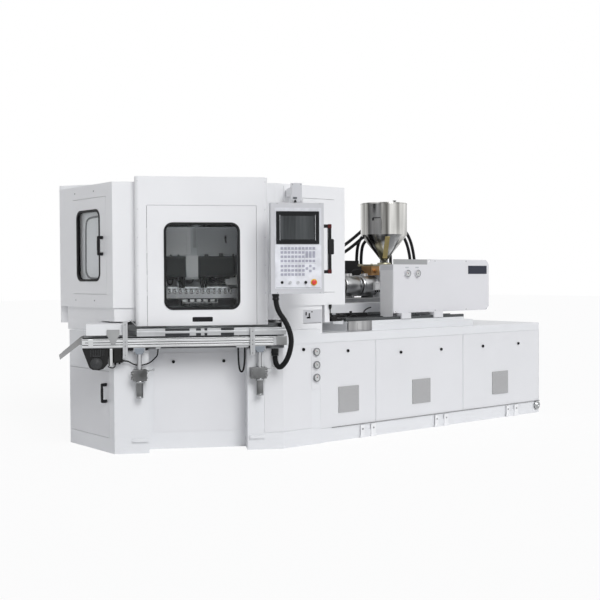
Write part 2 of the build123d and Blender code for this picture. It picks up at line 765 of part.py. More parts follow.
# Stripper frame at the take-off station: posts, cross plate, air cylinders, guides and the bottle slide.
post_thick = 15
frame_top = parting_height + 620
frame_bottom = parting_height + 365
slide_half = 300
slide_low_reach = 690
slide_low = beam_top + 23
slide_high_reach = 380
slide_high = slide_low + 220
slide_foot_reach = 560
slide_slope = (slide_high - slide_low) / (slide_low_reach - slide_high_reach)
slide_foot_top = slide_low + slide_slope * (slide_low_reach - slide_foot_reach) + sheet / 2
guide_foot_reach = 318
guide_foot_thick = 18
guide_foot_half = 15
post_half = 20
cylinder_spans = ((-310, -130), (-15, 310))
cylinder_drop = 190
middle_plate = (-130, -15)
middle_drop = 210
with BuildPart() as stripper_frame:
    for side in (-1, 1):
        block(level(front_turn), (side * guide_side - post_half, -bed_front_reach, bed_top),
              (side * guide_side + post_half, -bed_front_reach + post_thick, frame_top))
        block(level(front_turn), (side * guide_side - guide_foot_half, -guide_foot_reach, bed_top),
              (side * guide_side + guide_foot_half, -guide_foot_reach + guide_foot_thick, guide_height + 20))
        with BuildSketch(facing(front_turn, guide_foot_reach, guide_height)):
            with Locations((side * guide_side, 0)):
                Circle(guide_radius)
        extrude(amount=bed_front_reach - post_thick - guide_foot_reach)
    block(level(front_turn), (-guide_side - post_half, -bed_front_reach, frame_bottom),
          (guide_side + post_half, -bed_front_reach + post_thick, frame_top))
    for start, end in cylinder_spans:
        block(level(front_turn), (start, -bed_front_reach - 20, frame_bottom - cylinder_drop),
              (end, -bed_front_reach + 70, frame_bottom))
    block(level(front_turn), (middle_plate[0], -bed_front_reach, frame_bottom - middle_drop),
          (middle_plate[1], -bed_front_reach + post_thick, frame_bottom))
    with BuildSketch(facing(front_turn + 90, -slide_half)):
        with BuildLine():
            Polyline((-slide_low_reach, slide_low), (-slide_low_reach, slide_low + sheet),
                     (-slide_high_reach, slide_high + sheet), (-slide_high_reach, slide_high), close=True)
        make_face()
        with Locations((-slide_foot_reach, (bed_top + slide_foot_top) / 2)):
            Rectangle(sheet, slide_foot_top - bed_top)
    extrude(amount=2 * slide_half)
save(stripper_frame, "stripper_frame")

# Stripper bar: a notched bar on two bushes that rides in along the core rods.
bush_length = 40
bush_half = 25
notch_width = 24
bar_thick = 20
with BuildPart() as stripper_bar:
    for side in (-1, 1):
        block(level(front_turn), (side * guide_side - bush_half, -stripper_reach, guide_height - bush_half),
              (side * guide_side + bush_half, -stripper_reach + bush_length, guide_height + bush_half))
    block(level(front_turn), (-guide_side - bush_half, -stripper_reach, guide_height + bush_half - 5),
          (guide_side + bush_half, -stripper_reach + bar_thick, head_height + bush_half))
    with BuildSketch(facing(front_turn, stripper_reach, head_height)):
        with GridLocations(rod_pitch, 0, rod_count, 1):
            Circle(notch_width / 2)
            with Locations((0, bush_half)):
                Rectangle(notch_width, 2 * bush_half)
    extrude(amount=-bar_thick, mode=Mode.SUBTRACT)
    with BuildSketch(facing(front_turn, stripper_reach, guide_height)):
        with GridLocations(2 * guide_side, 0, 2, 1):
            Circle(guide_radius + running_gap)
    extrude(amount=-2 * bush_length, mode=Mode.SUBTRACT)
save(stripper_bar, "stripper_bar")


def along_front(places, reaches, heights, mode=Mode.ADD):
    """Box at the take-off station between two places along it, two reaches and two heights."""
    block(level(front_turn), (places[0], -reaches[1], heights[0]), (places[1], -reaches[0], heights[1]), mode)


# Conveyor frame: two beams with ties, a slide plate, guide rails, slotted posts and support rods.
drive_place = conveyor_left + 50
idler_place = conveyor_right - 50
rear_inner = rear_beam_reach + beam_width
front_inner = front_beam_reach - beam_width
shaft_radius = 10
guide_rail_bottom = beam_top + 7
guide_rail_top = guide_rail_bottom + 66
guide_rail_thick = 16
guide_rail_start = -560
guide_rail_end = 715
guide_post_radius = 5
bracket_half = 48
bracket_height = 34
beam_ties = (-600, 0, 450)
lower_ties = ((-401, -361), (280, 385))
tie_drop = 12
support_reach = front_beam_reach - beam_width / 2
with BuildPart() as conveyor_frame:
    for reach in (rear_beam_reach, front_inner):
        along_front((conveyor_left, conveyor_right), (reach, reach + beam_width), (beam_bottom, beam_top))
    for place in beam_ties:
        along_front((place - 20, place + 20), (rear_inner, front_inner), (930, 976))
    along_front((drive_place + 60, idler_place - 60), (rear_inner, front_inner), (975, 979))
    for tie in lower_ties:
        along_front(tie, (rear_beam_reach, front_beam_reach), (beam_bottom - tie_drop, beam_bottom))
    along_front((guide_rail_start, guide_rail_end),
                (support_reach - guide_rail_thick / 2, support_reach + guide_rail_thick / 2),
                (guide_rail_bottom, guide_rail_top))
    for place in support_places:
        along_front((place - bracket_half, place + bracket_half), (support_reach - 28, front_beam_reach),
                    (beam_bottom - bracket_height, beam_bottom))
    with BuildSketch(level(front_turn, beam_top)):
        with Locations(*[(place, -support_reach) for place in (-530, -120, 300, 625)]):
            Circle(guide_post_radius)
    extrude(amount=guide_rail_bottom - beam_top)
    for place, bottom, top in zip(post_places, (820, 828), (1132, 1058)):
        along_front((place - post_width / 2, place + post_width / 2),
                    (front_beam_reach, front_beam_reach + post_width), (bottom, top))
        along_front((place - 4, place + 4),
                    (front_beam_reach + post_width - 6, front_beam_reach + post_width + 1),
                    (bottom - 1, top + 1), mode=Mode.SUBTRACT)
    along_front((idler_place + 10, conveyor_right + 77), (front_beam_reach, front_beam_reach + 8),
                (beam_bottom + 6, beam_top - 12))
    with BuildSketch(level(front_turn, support_bottom + support_play)):
        with Locations(*[(place, -support_reach) for place in support_places]):
            Circle(support_radius)
    extrude(amount=beam_bottom - support_bottom - support_play)
    with BuildSketch(facing(front_turn, rear_beam_reach)):
        with Locations((drive_place, roller_height), (idler_place, roller_height)):
            Circle(shaft_radius + running_gap)
    extrude(amount=front_beam_reach - rear_beam_reach, mode=Mode.SUBTRACT)
save(conveyor_frame, "conveyor_frame")

# Conveyor belt and the two rollers it runs on.
belt_side_gap = 5
with BuildPart() as conveyor_belt:
    with BuildSketch(facing(front_turn, rear_inner + belt_side_gap)):
        with Locations(((drive_place + idler_place) / 2, roller_height)):
            SlotCenterToCenter(idler_place - drive_place, 2 * (roller_radius + belt_play + belt_thick))
            SlotCenterToCenter(idler_place - drive_place, 2 * (roller_radius + belt_play), mode=Mode.SUBTRACT)
    extrude(amount=front_inner - rear_inner - 2 * belt_side_gap)
save(conveyor_belt, "conveyor_belt")

for label, place in (("drive_roller", drive_place), ("idler_roller", idler_place)):
    with BuildPart() as roller:
        with BuildSketch(facing(front_turn, rear_inner + 1)):
            with Locations((place, roller_height)):
                Circle(roller_radius)
        extrude(amount=front_inner - rear_inner - 2)
        with BuildSketch(facing(front_turn, rear_beam_reach + belt_side_gap)):
            with Locations((place, roller_height)):
                Circle(shaft_radius)
        extrude(amount=front_beam_reach - rear_beam_reach - 2 * belt_side_gap)
    save(roller, label)

# Conveyor motor: a geared motor with its flange, chain case and terminal box under the front beam.
motor_plate = 8
motor_top = beam_bottom - motor_plate
flange_radius_motor = 46
case_depth = 120
with BuildPart() as conveyor_motor:
    along_front((conveyor_left, -680), (front_inner - 85, front_beam_reach), (motor_top, beam_bottom))
    with BuildSketch(facing(front_turn, front_inner - 85)):
        with BuildLine():
            Polyline(
                (conveyor_left, motor_top), (-955, 748), (-928, 728), (-875, 722), (-838, 734), (-802, 776),
                (-795, motor_top), close=True,
            )
        make_face()
    extrude(amount=case_depth)
    with BuildSketch(facing(front_turn, front_inner - 85 + case_depth)):
        with Locations((-896, 781)):
            Circle(flange_radius_motor)
    extrude(amount=14)
    along_front((-795, -760), (front_inner - 30, front_beam_reach - 10), (758, motor_top))
    along_front((-760, -680), (front_inner - 30, front_inner + 10), (781, motor_top))
save(conveyor_motor, "conveyor_motor")

# Conveyor supports: bored clamp blocks with sleeve tubes on the legs of the base, round the support rods.
with BuildPart() as conveyor_supports:
    for clamp_span in ((-588, -478), (401, 528)):
        along_front(clamp_span, (station_reach, front_beam_reach + 15), (clamp_bottom, clamp_top))
    with BuildSketch(level(front_turn, support_bottom)):
        with Locations(*[(place, -support_reach) for place in support_places]):
            Circle(sleeve_tube_radius)
    extrude(amount=clamp_bottom - support_bottom)
    with BuildSketch(level(front_turn, support_bottom)):
        with Locations(*[(place, -support_reach) for place in support_places]):
            Circle(support_radius + running_gap)
    extrude(amount=clamp_top - support_bottom, mode=Mode.SUBTRACT)
save(conveyor_supports, "conveyor_supports")

# Conveyor cover over the outlet, with its front bracket, and the chute below the outlet.
cover_start = -977
cover_end = -665
cover_bottom = 1015
cover_top = 1110
cover_sheet = 3
with BuildPart() as conveyor_cover:
    along_front((cover_start, cover_end), (rear_beam_reach, front_beam_reach), (cover_bottom, cover_top))
    along_front((cover_start - 1, cover_end + 1),
                (rear_beam_reach + cover_sheet, front_beam_reach - cover_sheet),
                (cover_bottom - 1, cover_top - cover_sheet), mode=Mode.SUBTRACT)
    for reach in (rear_beam_reach - cover_sheet, front_beam_reach):
        with BuildSketch(facing(front_turn, reach)):
            with BuildLine():
                Polyline((-783, 966), (-725, 966), (-707, 1081), (-807, 1081), close=True)
            make_face()
        extrude(amount=cover_sheet)
    with BuildSketch(facing(front_turn, rear_beam_reach)) as chute_floor:
        with BuildLine():
            Polyline(
                (-1010, 915), (-1013, 915), (-1013, 972), (-1033, 965), (-1192, 842), (-1194, 845),
                (-1034, 968), (-1010, 976), close=True,
            )
        make_face()
    extrude(amount=front_beam_reach - rear_beam_reach)
    for reach in (rear_beam_reach, front_beam_reach - cover_sheet):
        with BuildSketch(facing(front_turn, reach)) as chute_side:
            with BuildLine():
                Polyline(
                    (-1010, 940), (-1033, 940), (-1192, 818), (-1200, 860), (-1040, 990), (-1010, 1000),
                    close=True,
                )
            make_face()
        extrude(amount=cover_sheet)
save(conveyor_cover, "conveyor_cover")

# Injection bed: the slab on the deck with raised seats for the linear rails.
narrow_half = 1005
seat_width = 36
guard_rail_places = (-guard_rail_side, -800)
guard_rail_end = 2640
carriage_rail_start = carriage_start + 10
carriage_rail_end = slab_end - 34
rail_runs = [(side, slab_start, guard_rail_end) for side in guard_rail_places]
rail_runs += [(side * carriage_rail_side, carriage_rail_start, carriage_rail_end) for side in (-1, 1)]
with BuildPart() as bed_slab:
    block(Plane.XY, (slab_start, -narrow_half, deck_height), (slab_wide_start, narrow_half, slab_top))
    block(Plane.XY, (slab_wide_start, -slab_half, deck_height), (slab_end, slab_half, slab_top))
    for side, start, end in rail_runs:
        block(Plane.XY, (start, side - seat_width / 2, slab_top), (end, side + seat_width / 2, rail_seat))
save(bed_slab, "bed_slab")

rail_top = rail_seat + rail_height
with BuildPart() as linear_rails:
    for side, start, end in rail_runs:
        block(Plane.XY, (start, side - rail_width / 2, rail_seat), (end, side + rail_width / 2, rail_top))
save(linear_rails, "linear_rails")


def rail_block(middle, side, length, top):
    """Slide block on a linear rail, with a channel for the rail."""
    width = 2.1 * rail_width
    slack = 0.5
    block(Plane.XY, (middle - length / 2, side - width / 2, rail_seat + 4),
          (middle + length / 2, side + width / 2, top))
    block(Plane.XY, (middle - length, side - rail_width / 2 - slack, rail_seat),
          (middle + length, side + rail_width / 2 + slack, rail_top + slack), mode=Mode.SUBTRACT)


# Injection carriage: plate on four slide blocks, barrel saddle, throat block and the two injection cylinders.
throat_start = throat_x - throat_half
throat_end = throat_x + throat_half
throat_side = 170
flange_end = throat_end + 40
cylinder_low = carriage_top + 75
feed_radius = 28
injection_rod_radius = 25
with BuildPart() as injection_carriage:
    for side in (-1, 1):
        for middle in (1400, 2400):
            rail_block(middle, side * carriage_rail_side, 120, carriage_bottom)
    block(Plane.XY, (carriage_start, -carriage_half, carriage_bottom),
          (carriage_end, carriage_half, carriage_top))
    block(Plane.XY, (1380, -80, carriage_top), (1440, 80, barrel_height - 15))
    block(Plane.XY, (throat_start, -throat_side, carriage_top), (throat_end, throat_side, throat_top))
    block(Plane.XY, (throat_end, -280, cylinder_low), (flange_end, 280, barrel_height + 100))
    block(Plane.XY, (cylinder_end - 60, -280, carriage_top), (cylinder_end - 10, 280, barrel_height - 20))
    with BuildSketch(facing(end_turn, flange_end)):
        with Locations((-cylinder_side, barrel_height), (cylinder_side, barrel_height)):
            Circle(cylinder_radius)
    extrude(amount=cylinder_end - flange_end)
    with BuildSketch(facing(end_turn, flange_end + 20)):
        with Locations((-cylinder_side, barrel_height), (cylinder_side, barrel_height)):
            Circle(injection_rod_radius + running_gap)
    extrude(amount=cylinder_end, mode=Mode.SUBTRACT)
    with BuildSketch(facing(end_turn, throat_start)):
        with Locations((0, barrel_height)):
            Circle(screw_radius + running_gap)
    extrude(amount=cylinder_end, mode=Mode.SUBTRACT)
    with BuildSketch(facing(end_turn, carriage_start)):
        with Locations((0, barrel_height)):
            Circle(barrel_radius + 1)
    extrude(amount=throat_start - carriage_start, mode=Mode.SUBTRACT)
    with Locations((throat_x, 0, barrel_height)):
        Cylinder(feed_radius, throat_top, align=(Align.CENTER, Align.CENTER, Align.MIN), mode=Mode.SUBTRACT)
save(injection_carriage, "injection_carriage")

# Barrel: heated steel tube with a stepped nozzle and heater bands, closed at its tip but for the sprue.
band_starts = (785, 1030, 1190, 1460, 1680, 1900, 2120)
band_length = 140
with BuildPart() as barrel:
    for radius, start, end in ((20, barrel_tip, 720), (45, 700, 760), (barrel_radius, 760, throat_start)):
        with BuildSketch(facing(end_turn, start)):
            with Locations((0, barrel_height)):
                Circle(radius)
        extrude(amount=end - start)
    for start in band_starts:
        with BuildSketch(facing(end_turn, start)):
            with Locations((0, barrel_height)):
                Circle(barrel_radius + 18)
        extrude(amount=band_length)
    for radius, start, end in ((4, barrel_tip, 700), (screw_radius + running_gap, 700, throat_start)):
        with BuildSketch(facing(end_turn, start)):
            with Locations((0, barrel_height)):
                Circle(radius)
        extrude(amount=end - start, mode=Mode.SUBTRACT)
save(barrel, "barrel")

# Screw: a plain-bodied feed screw with a tapered tip, whose shank turns in the crosshead.
screw_start = 710
shank_start = 2600
crosshead_start = cylinder_end + crosshead_gap
crosshead_end = crosshead_start + crosshead_thick
shank_radius = 20
flight_pitch = 60
flight_depth = 6
with BuildPart() as screw:
    with BuildSketch(facing(end_turn, screw_start)):
        with Locations((0, barrel_height)):
            Circle(screw_radius - flight_depth)
    extrude(amount=shank_start - screw_start)
    for turn_start in range(screw_start + 20, shank_start - 40, flight_pitch):
        with BuildSketch(facing(end_turn, turn_start)):
            with Locations((0, barrel_height)):
                Circle(screw_radius)
        extrude(amount=flight_depth * 2)
    with BuildSketch(facing(end_turn, shank_start)):
        with Locations((0, barrel_height)):
            Circle(shank_radius)
    extrude(amount=crosshead_end - shank_start)
save(screw, "screw")

# Injection drive: crosshead, its two piston rods and the hydraulic motor that turns the screw.
with BuildPart() as injection_drive:
    block(Plane.XY, (crosshead_start, -280, barrel_height - 130), (crosshead_end, 280, barrel_height + 130))
    with BuildSketch(facing(end_turn, flange_end + 30)):
        with Locations((-cylinder_side, barrel_height), (cylinder_side, barrel_height)):
            Circle(injection_rod_radius)
    extrude(amount=crosshead_start - flange_end - 30)
    with BuildSketch(facing(end_turn, crosshead_end)):
        with Locations((0, barrel_height)):
            Circle(motor_radius)
    extrude(amount=motor_length)
    with BuildSketch(facing(end_turn, crosshead_start)):
        with Locations((0, barrel_height)):
            Circle(shank_radius + running_gap)
    extrude(amount=crosshead_thick + running_gap, mode=Mode.SUBTRACT)
save(injection_drive, "injection_drive")

# Hopper: round thin-walled bin with a cone, on a flanged neck.
neck_flange = 60
with BuildPart() as hopper:
    with BuildSketch(Plane.XZ) as hopper_wall_section:
        with BuildLine():
            Polyline(
                (throat_x + neck_radius - hopper_wall, throat_top), (throat_x + neck_flange, throat_top),
                (throat_x + neck_flange, throat_top + 12), (throat_x + neck_radius, throat_top + 12),
                (throat_x + neck_radius, hopper_neck_top), (throat_x + hopper_radius, hopper_shoulder),
                (throat_x + hopper_radius, hopper_rim), (throat_x + hopper_radius - hopper_wall, hopper_rim),
                (throat_x + hopper_radius - hopper_wall, hopper_shoulder + hopper_wall / 2),
                (throat_x + neck_radius - hopper_wall, hopper_neck_top + hopper_wall), close=True,
            )
        make_face()
    revolve(axis=Axis((throat_x, 0, 0), (0, 0, 1)))
save(hopper, "hopper")

lid_play = 2
with BuildPart() as hopper_lid:
    with BuildSketch(Plane.XY.offset(hopper_rim)):
        with Locations((throat_x, 0)):
            Circle(hopper_radius + lid_play)
        with Locations((throat_x, hopper_radius + lid_play)):
            Rectangle(80, 40)
    extrude(amount=lid_thick)
    with BuildSketch(facing(end_turn, throat_x - 60)):
        with Locations((-hopper_radius * 0.75, hopper_rim + lid_thick)):
            SlotOverall(50, 16, rotation=90)
    extrude(amount=120)
save(hopper_lid, "hopper_lid")

# Sliding guard: an open-backed sheet hood over the injection unit, with slide blocks and two gauges.
cut_out_length = 480
cut_out_depth = 52
guard_block_places = (1785, 2245)
guard_block_length = 130
guard_gauges = ((1850, 1527), (1990, 1527))
guard_gauge_radius = 37


def guard_outline(inset):
    """Guard's front outline, with clipped right corners and a stepped top edge at the left."""
    left = guard_start + inset
    right = guard_end - inset
    bottom = guard_bottom + inset
    top = guard_top - inset
    step = guard_start + cut_out_length - inset
    Polyline(
        (left, bottom), (right - guard_corner, bottom), (right, bottom + guard_corner),
        (right, top - guard_corner),
        (right - guard_corner, top), (step + cut_out_depth, top), (step, top - cut_out_depth),
        (left, top - cut_out_depth), close=True,
    )


with BuildPart() as sliding_guard:
    with BuildSketch(facing(front_side_turn, guard_side)):
        with BuildLine():
            guard_outline(0)
        make_face()
    extrude(amount=-guard_depth)
    with BuildSketch(facing(front_side_turn, guard_side - guard_sheet)):
        with BuildLine():
            guard_outline(guard_sheet)
        make_face()
    extrude(amount=-guard_depth, mode=Mode.SUBTRACT)
    block(Plane.XY, (guard_start + 10, guard_sheet - guard_side, guard_top - 110),
          (guard_start + cut_out_length + 20, 2 * guard_sheet - guard_side, guard_top - 8))
    for side in guard_rail_places:
        for middle in guard_block_places:
            rail_block(middle, side, guard_block_length, guard_bottom)
    with BuildSketch(facing(front_side_turn, guard_side)):
        with Locations(*guard_gauges):
            Circle(guard_gauge_radius)
    extrude(amount=20)
    with BuildSketch(facing(front_side_turn, guard_side + 20)):
        with Locations(*guard_gauges):
            Circle(29)
    extrude(amount=-4, mode=Mode.SUBTRACT)
save(sliding_guard, "sliding_guard")

# Operator panel: a box on a rigid arm from the tower's side wall, above the front right corner.
pendant_back = pendant_front - pendant_depth
pendant_top = pendant_middle + pendant_height / 2
pendant_bottom = pendant_middle - pendant_height / 2
pendant_shell = 3
panel_plate = 3
button_row = -285
button_places = {"left_button": -64, "right_button": 4}
selector_place = 68
stop_place = 138
arm_foot_start = 235
arm_foot_end = 355
arm_foot_thick = 10
with BuildPart() as pendant_arm:
    along_front((pendant_side - 30, pendant_side + 30), (600, pendant_front - 30), (2200, 2265))
    along_front((pendant_side - 45, pendant_side + 45), (pendant_back + 20, pendant_front - 20),
                (pendant_top, pendant_top + 168))
    block(Plane.XY, (-far, -wing_side, 0), (far, far, far), mode=Mode.SUBTRACT)
    block(Plane.XY, (arm_foot_start, -wing_side - arm_foot_thick, 2165), (arm_foot_end, -wing_side, 2300))
save(pendant_arm, "pendant_arm")

panel_face = Plane(
    origin=level(front_turn).from_local_coords(Vector(pendant_side, -pendant_front, pendant_middle)),
    x_dir=Vector(1, 0, 0).rotate(Axis.Z, front_turn), z_dir=outward(front_turn, 1),
)
stem_places = [(place, button_row) for place in (*button_places.values(), selector_place, stop_place)]
collar_place = 595
collar_reach = 1200
collar_bottom = 1340
side_bar_reach = 70
with BuildPart() as pendant_case:
    half = pendant_width / 2
    tall = pendant_height / 2
    block(panel_face, (-half, -tall, -pendant_depth), (half, tall, 0))
    block(panel_face, (pendant_shell - half, pendant_shell - tall, pendant_shell - pendant_depth),
          (half - pendant_shell, tall - pendant_shell, -pendant_shell), mode=Mode.SUBTRACT)
    with BuildSketch(panel_face):
        with Locations(*stem_places):
            Circle(button_stem + running_gap)
    extrude(amount=-2 * pendant_shell, mode=Mode.SUBTRACT)
    with BuildSketch(level(front_turn, collar_bottom)):
        with Locations((collar_place, -collar_reach)):
            Circle(26)
    extrude(amount=pendant_bottom - collar_bottom)
    block(panel_face, (half + side_bar_reach - 28, -209, -60), (half + side_bar_reach, 201, -32))
    for height in (-209, 175):
        block(panel_face, (half, height, -58), (half + side_bar_reach - 20, height + 26, -34))
save(pendant_case, "pendant_case")

# Panel front: keypad plate, screen bezel, keys, arrow pad, key switch and the stop button's yellow ring.
bezel_thick = 9
key_rise = 2.5
key_rows = (0, -34, -70, -106, -148, -184, -219)
with BuildPart() as pendant_panel:
    block(panel_face, (-191.5, -339, 0), (203.5, 339, panel_plate))
    block(panel_face, (-179.5, 35.5, panel_plate), (183.5, 308.5, bezel_thick))
    block(panel_face, (-146.5, 64, bezel_thick - 4), (150.5, 280, bezel_thick + 1), mode=Mode.SUBTRACT)
    for row, height in enumerate(key_rows):
        for column in range(10):
            if column >= 7 and (row in (1, 2) or height < -110):
                continue
            with BuildSketch(panel_face.offset(panel_plate)):
                with Locations((-132 + column * key_pitch, height)):
                    Rectangle(22, 20)
            extrude(amount=key_rise)
    with BuildSketch(panel_face.offset(panel_plate)):
        with Locations(*[(-132 + column * key_pitch, -52) for column in (7, 8, 9)]):
            Rectangle(22, 54)
        with Locations((138, -169), (78, -169), (108, -148), (108, -190)):
            RegularPolygon(14, 4)
        with Locations((-132, button_row)):
            Circle(11)
    extrude(amount=key_rise)
    with BuildSketch(panel_face.offset(panel_plate)):
        with Locations((stop_place, button_row)):
            Circle(28)
        with Locations(*[(place, button_row) for place in (*button_places.values(), selector_place)]):
            Circle(button_radius + 4)
    extrude(amount=key_rise)
    with BuildSketch(panel_face):
        with Locations(*stem_places):
            Circle(button_stem + running_gap)
    extrude(amount=panel_plate + 2 * key_rise, mode=Mode.SUBTRACT)
save(pendant_panel, "pendant_panel")

# Push buttons, selector knob and stop button, each on a stem through the panel.
ring_front = panel_plate + key_rise


def panel_button(place, head_radius, head_depth, rise):
    """Button on a round stem, its head held clear of the ring by its travel."""
    head_start = ring_front + rise
    with BuildPart() as button:
        for radius, start, end in (
            (button_stem, -20, head_start), (head_radius, head_start, head_start + head_depth),
        ):
            with BuildSketch(panel_face.offset(start)):
                with Locations((place, button_row)):
                    Circle(radius)
            extrude(amount=end - start)
    return button


save(panel_button(stop_place, 20, 14, button_travel + 1), "e_stop")
for label, place in button_places.items():
    save(panel_button(place, button_radius, 6, button_travel + 1), label)
with BuildPart() as selector:
    add(panel_button(selector_place, button_radius + 1, 5, 0.5).part)
    with BuildSketch(panel_face.offset(ring_front + 5)):
        with Locations((selector_place, button_row)):
            Rectangle(7, 2 * button_radius)
    extrude(amount=9)
save(selector, "selector")

# Valve stand: valve block on a plate stand, two port blocks on the deck and the hose mast with its saddle.
hose_inset = 70
pressure_side = 440
valve_side = 482
stand_front = 400
stand_rear = 510
mast_side = 398
mast_x = 2800
mast_top = slab_top + 970
mast_radius = 15
port_top = slab_top + 200
valve_bottom = slab_top + 450
valve_top = valve_bottom + 180
valve_start = 2150
valve_end = 2450
valve_port_start = valve_end + 40
valve_port_top = valve_bottom + 140
port_places = (3030, 3400)
port_margin = 32
with BuildPart() as valve_stand:
    block(Plane.XY, (valve_start + 40, 435, slab_top), (valve_end - 40, 455, valve_bottom))
    block(Plane.XY, (valve_start, stand_front, valve_bottom), (valve_end, stand_rear, valve_top))
    block(Plane.XY, (valve_end, stand_front, valve_bottom),
          (valve_port_start + hose_inset + port_margin, stand_rear, valve_port_top))
    for place in port_places:
        block(Plane.XY, (place - hose_inset - port_margin, stand_front, deck_height),
              (place + port_margin, stand_rear, port_top))
    with Locations((mast_x, mast_side, deck_height)):
        Cylinder(mast_radius, mast_top - deck_height, align=(Align.CENTER, Align.CENTER, Align.MIN))
    block(Plane.XY, (mast_x - 22, mast_side - mast_radius, mast_top), (mast_x + 22, 460, mast_top + 14))
save(valve_stand, "valve_stand")


def hose(label, route, diameter):
    """Tube along a route of straight runs, with the widest even arc that fits each corner."""
    radii = []
    for before, corner, after in zip(route, route[1:], route[2:]):
        first = corner - before
        second = after - corner
        half_turn = math.radians(first.get_angle(second)) / 2
        radii.append(0.45 * min(first.length, second.length) / math.tan(half_turn))
    print(label, "bend radii in diameters", [round(radius / diameter, 1) for radius in radii])
    with BuildLine() as path:
        FilletPolyline(*route, radius=radii)
    with BuildSketch(Plane(origin=route[0], z_dir=route[1] - route[0])) as section:
        Circle(diameter / 2)
    sweep(section.sketch, path=path.line)


def front_route(points):
    """Route given as place along the take-off station, reach and height."""
    station = level(front_turn)
    return [station.from_local_coords(Vector(place, -reach, height)) for place, reach, height in points]


conduit_route = (
    (collar_place, collar_reach, collar_bottom), (collar_place, collar_reach, 1235), (690, 1185, 1110),
    (738, 1160, 975), (722, 1128, 850), (690, 1090, 765), (648, 1022, 712),
    (elbow_side, station_reach + elbow_reach, 755),
    (elbow_side, station_reach + elbow_reach, conduit_end),
)
with BuildPart() as pendant_conduit:
    hose("pendant_conduit", front_route(conduit_route), conduit_diameter)
save(pendant_conduit, "pendant_conduit")

tie_bottom = beam_bottom - tie_drop
motor_cable_route = (
    (-680, 945, 795), (-635, 945, 795), (-590, 944, 762), (-530, 944, 752), (-455, 945, 772),
    (-408, 890, 808),
    (-381, 826, 835), (-381, 826, tie_bottom),
)
drain_route = (
    (305, 900, tie_bottom), (305, 900, 790), (318, 892, 680), (350, 878, 675), (366, 868, 780),
    (366, 868, tie_bottom),
)
with BuildPart() as conveyor_lines:
    hose("motor cable", front_route(motor_cable_route), motor_cable_diameter)
    hose("drain hose", front_route(drain_route), drain_hose_diameter)
save(conveyor_lines, "conveyor_lines")



def inset_route(route, gap):
    """Route beside another in the XZ plane, on the inner side of its bend."""
    points = []
    for index, point in enumerate(route):
        runs = []
        if index > 0:
            runs.append((point - route[index - 1]).normalized())
        if index < len(route) - 1:
            runs.append((route[index + 1] - point).normalized())
        along = sum(runs, Vector(0, 0, 0)).normalized()
        inner = Vector(along.Z, 0, -along.X)
        points.append(point - inner * (gap / along.dot(runs[0])))
    return points


long_route = (
    (3400, port_top), (3400, 1500), (3384, 1750), (3305, 1975), (3150, 2105), (2970, 2160), (2800, 2158),
    (2625, 2085), (2445, 1960), (2263, 1850), (2080, 1765), (1880, 1695), (1660, 1652), (1430, 1634),
    (1190, 1620), (wing_end, 1620),
)
short_route = (
    (valve_port_start, valve_port_top), (valve_port_start, 1843), (2593, 1985), (2760, 2039), (2927, 1985),
    (3024, 1843), (3034, 1610), (3030, 1420), (3030, port_top),
)
pressure_route = [Vector(x, pressure_side, z) for x, z in long_route]
valve_route = [Vector(x, valve_side, z) for x, z in short_route]
with BuildPart() as hydraulic_lines:
    hose("outer pressure hose", pressure_route, hose_diameter)
    hose("inner pressure hose", inset_route(pressure_route, hose_inset), hose_diameter)
    hose("outer valve hose", valve_route, hose_diameter)
    hose("inner valve hose", inset_route(valve_route, -hose_inset), hose_diameter)
save(hydraulic_lines, "hydraulic_lines")
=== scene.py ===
import math
import bpy
import bmesh
from mathutils import Matrix, Vector


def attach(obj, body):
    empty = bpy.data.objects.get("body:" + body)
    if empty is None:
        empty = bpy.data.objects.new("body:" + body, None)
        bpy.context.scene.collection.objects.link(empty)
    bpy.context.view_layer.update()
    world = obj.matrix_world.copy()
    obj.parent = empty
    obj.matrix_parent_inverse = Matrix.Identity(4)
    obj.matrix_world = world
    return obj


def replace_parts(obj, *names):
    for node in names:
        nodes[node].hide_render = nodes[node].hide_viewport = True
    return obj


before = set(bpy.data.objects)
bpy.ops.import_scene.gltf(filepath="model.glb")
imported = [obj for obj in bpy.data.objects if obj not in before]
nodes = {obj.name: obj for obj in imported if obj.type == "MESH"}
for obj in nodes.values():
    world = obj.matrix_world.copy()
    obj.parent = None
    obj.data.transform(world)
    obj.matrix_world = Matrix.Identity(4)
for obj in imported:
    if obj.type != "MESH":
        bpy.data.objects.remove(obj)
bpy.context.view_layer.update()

# Camera and stage. The machine stands on a plain pale floor under soft light from the front.
# The camera stands low, ahead of the front left corner, level with the windows.
camera_data = bpy.data.cameras.new("camera")
camera_data.sensor_width = 36.0
camera_data.lens = 59.54
camera_data.clip_end = 200.0
camera = bpy.data.objects.new("camera", camera_data)
bpy.context.scene.collection.objects.link(camera)
azimuth = math.radians(-39.05)
pitch = math.radians(1.26)
roll = math.radians(-0.34)
forward = Vector((-math.sin(azimuth) * math.cos(pitch), math.cos(azimuth) * math.cos(pitch), -math.sin(pitch)))
level_right = Vector((math.cos(azimuth), math.sin(azimuth), 0.0))
level_up = level_right.cross(forward)
right = level_right * math.cos(roll) + level_up * math.sin(roll)
up = level_up * math.cos(roll) - level_right * math.sin(roll)
turn = Matrix((right, up, -forward)).transposed().to_4x4()
camera_place = (-5.173, -7.933, 1.486)
camera.matrix_world = Matrix.Translation(camera_place) @ turn
bpy.context.scene.camera = camera
bpy.context.scene.view_settings.view_transform = "Standard"


def material(name, colour, roughness, metallic=0.0):
    """New material with its shader's plain sockets set."""
    made = bpy.data.materials.new(name)
    made.use_nodes = True
    shader = made.node_tree.nodes["Principled BSDF"]
    shader.inputs["Base Color"].default_value = (*colour, 1.0)
    shader.inputs["Roughness"].default_value = roughness
    shader.inputs["Metallic"].default_value = metallic
    return made


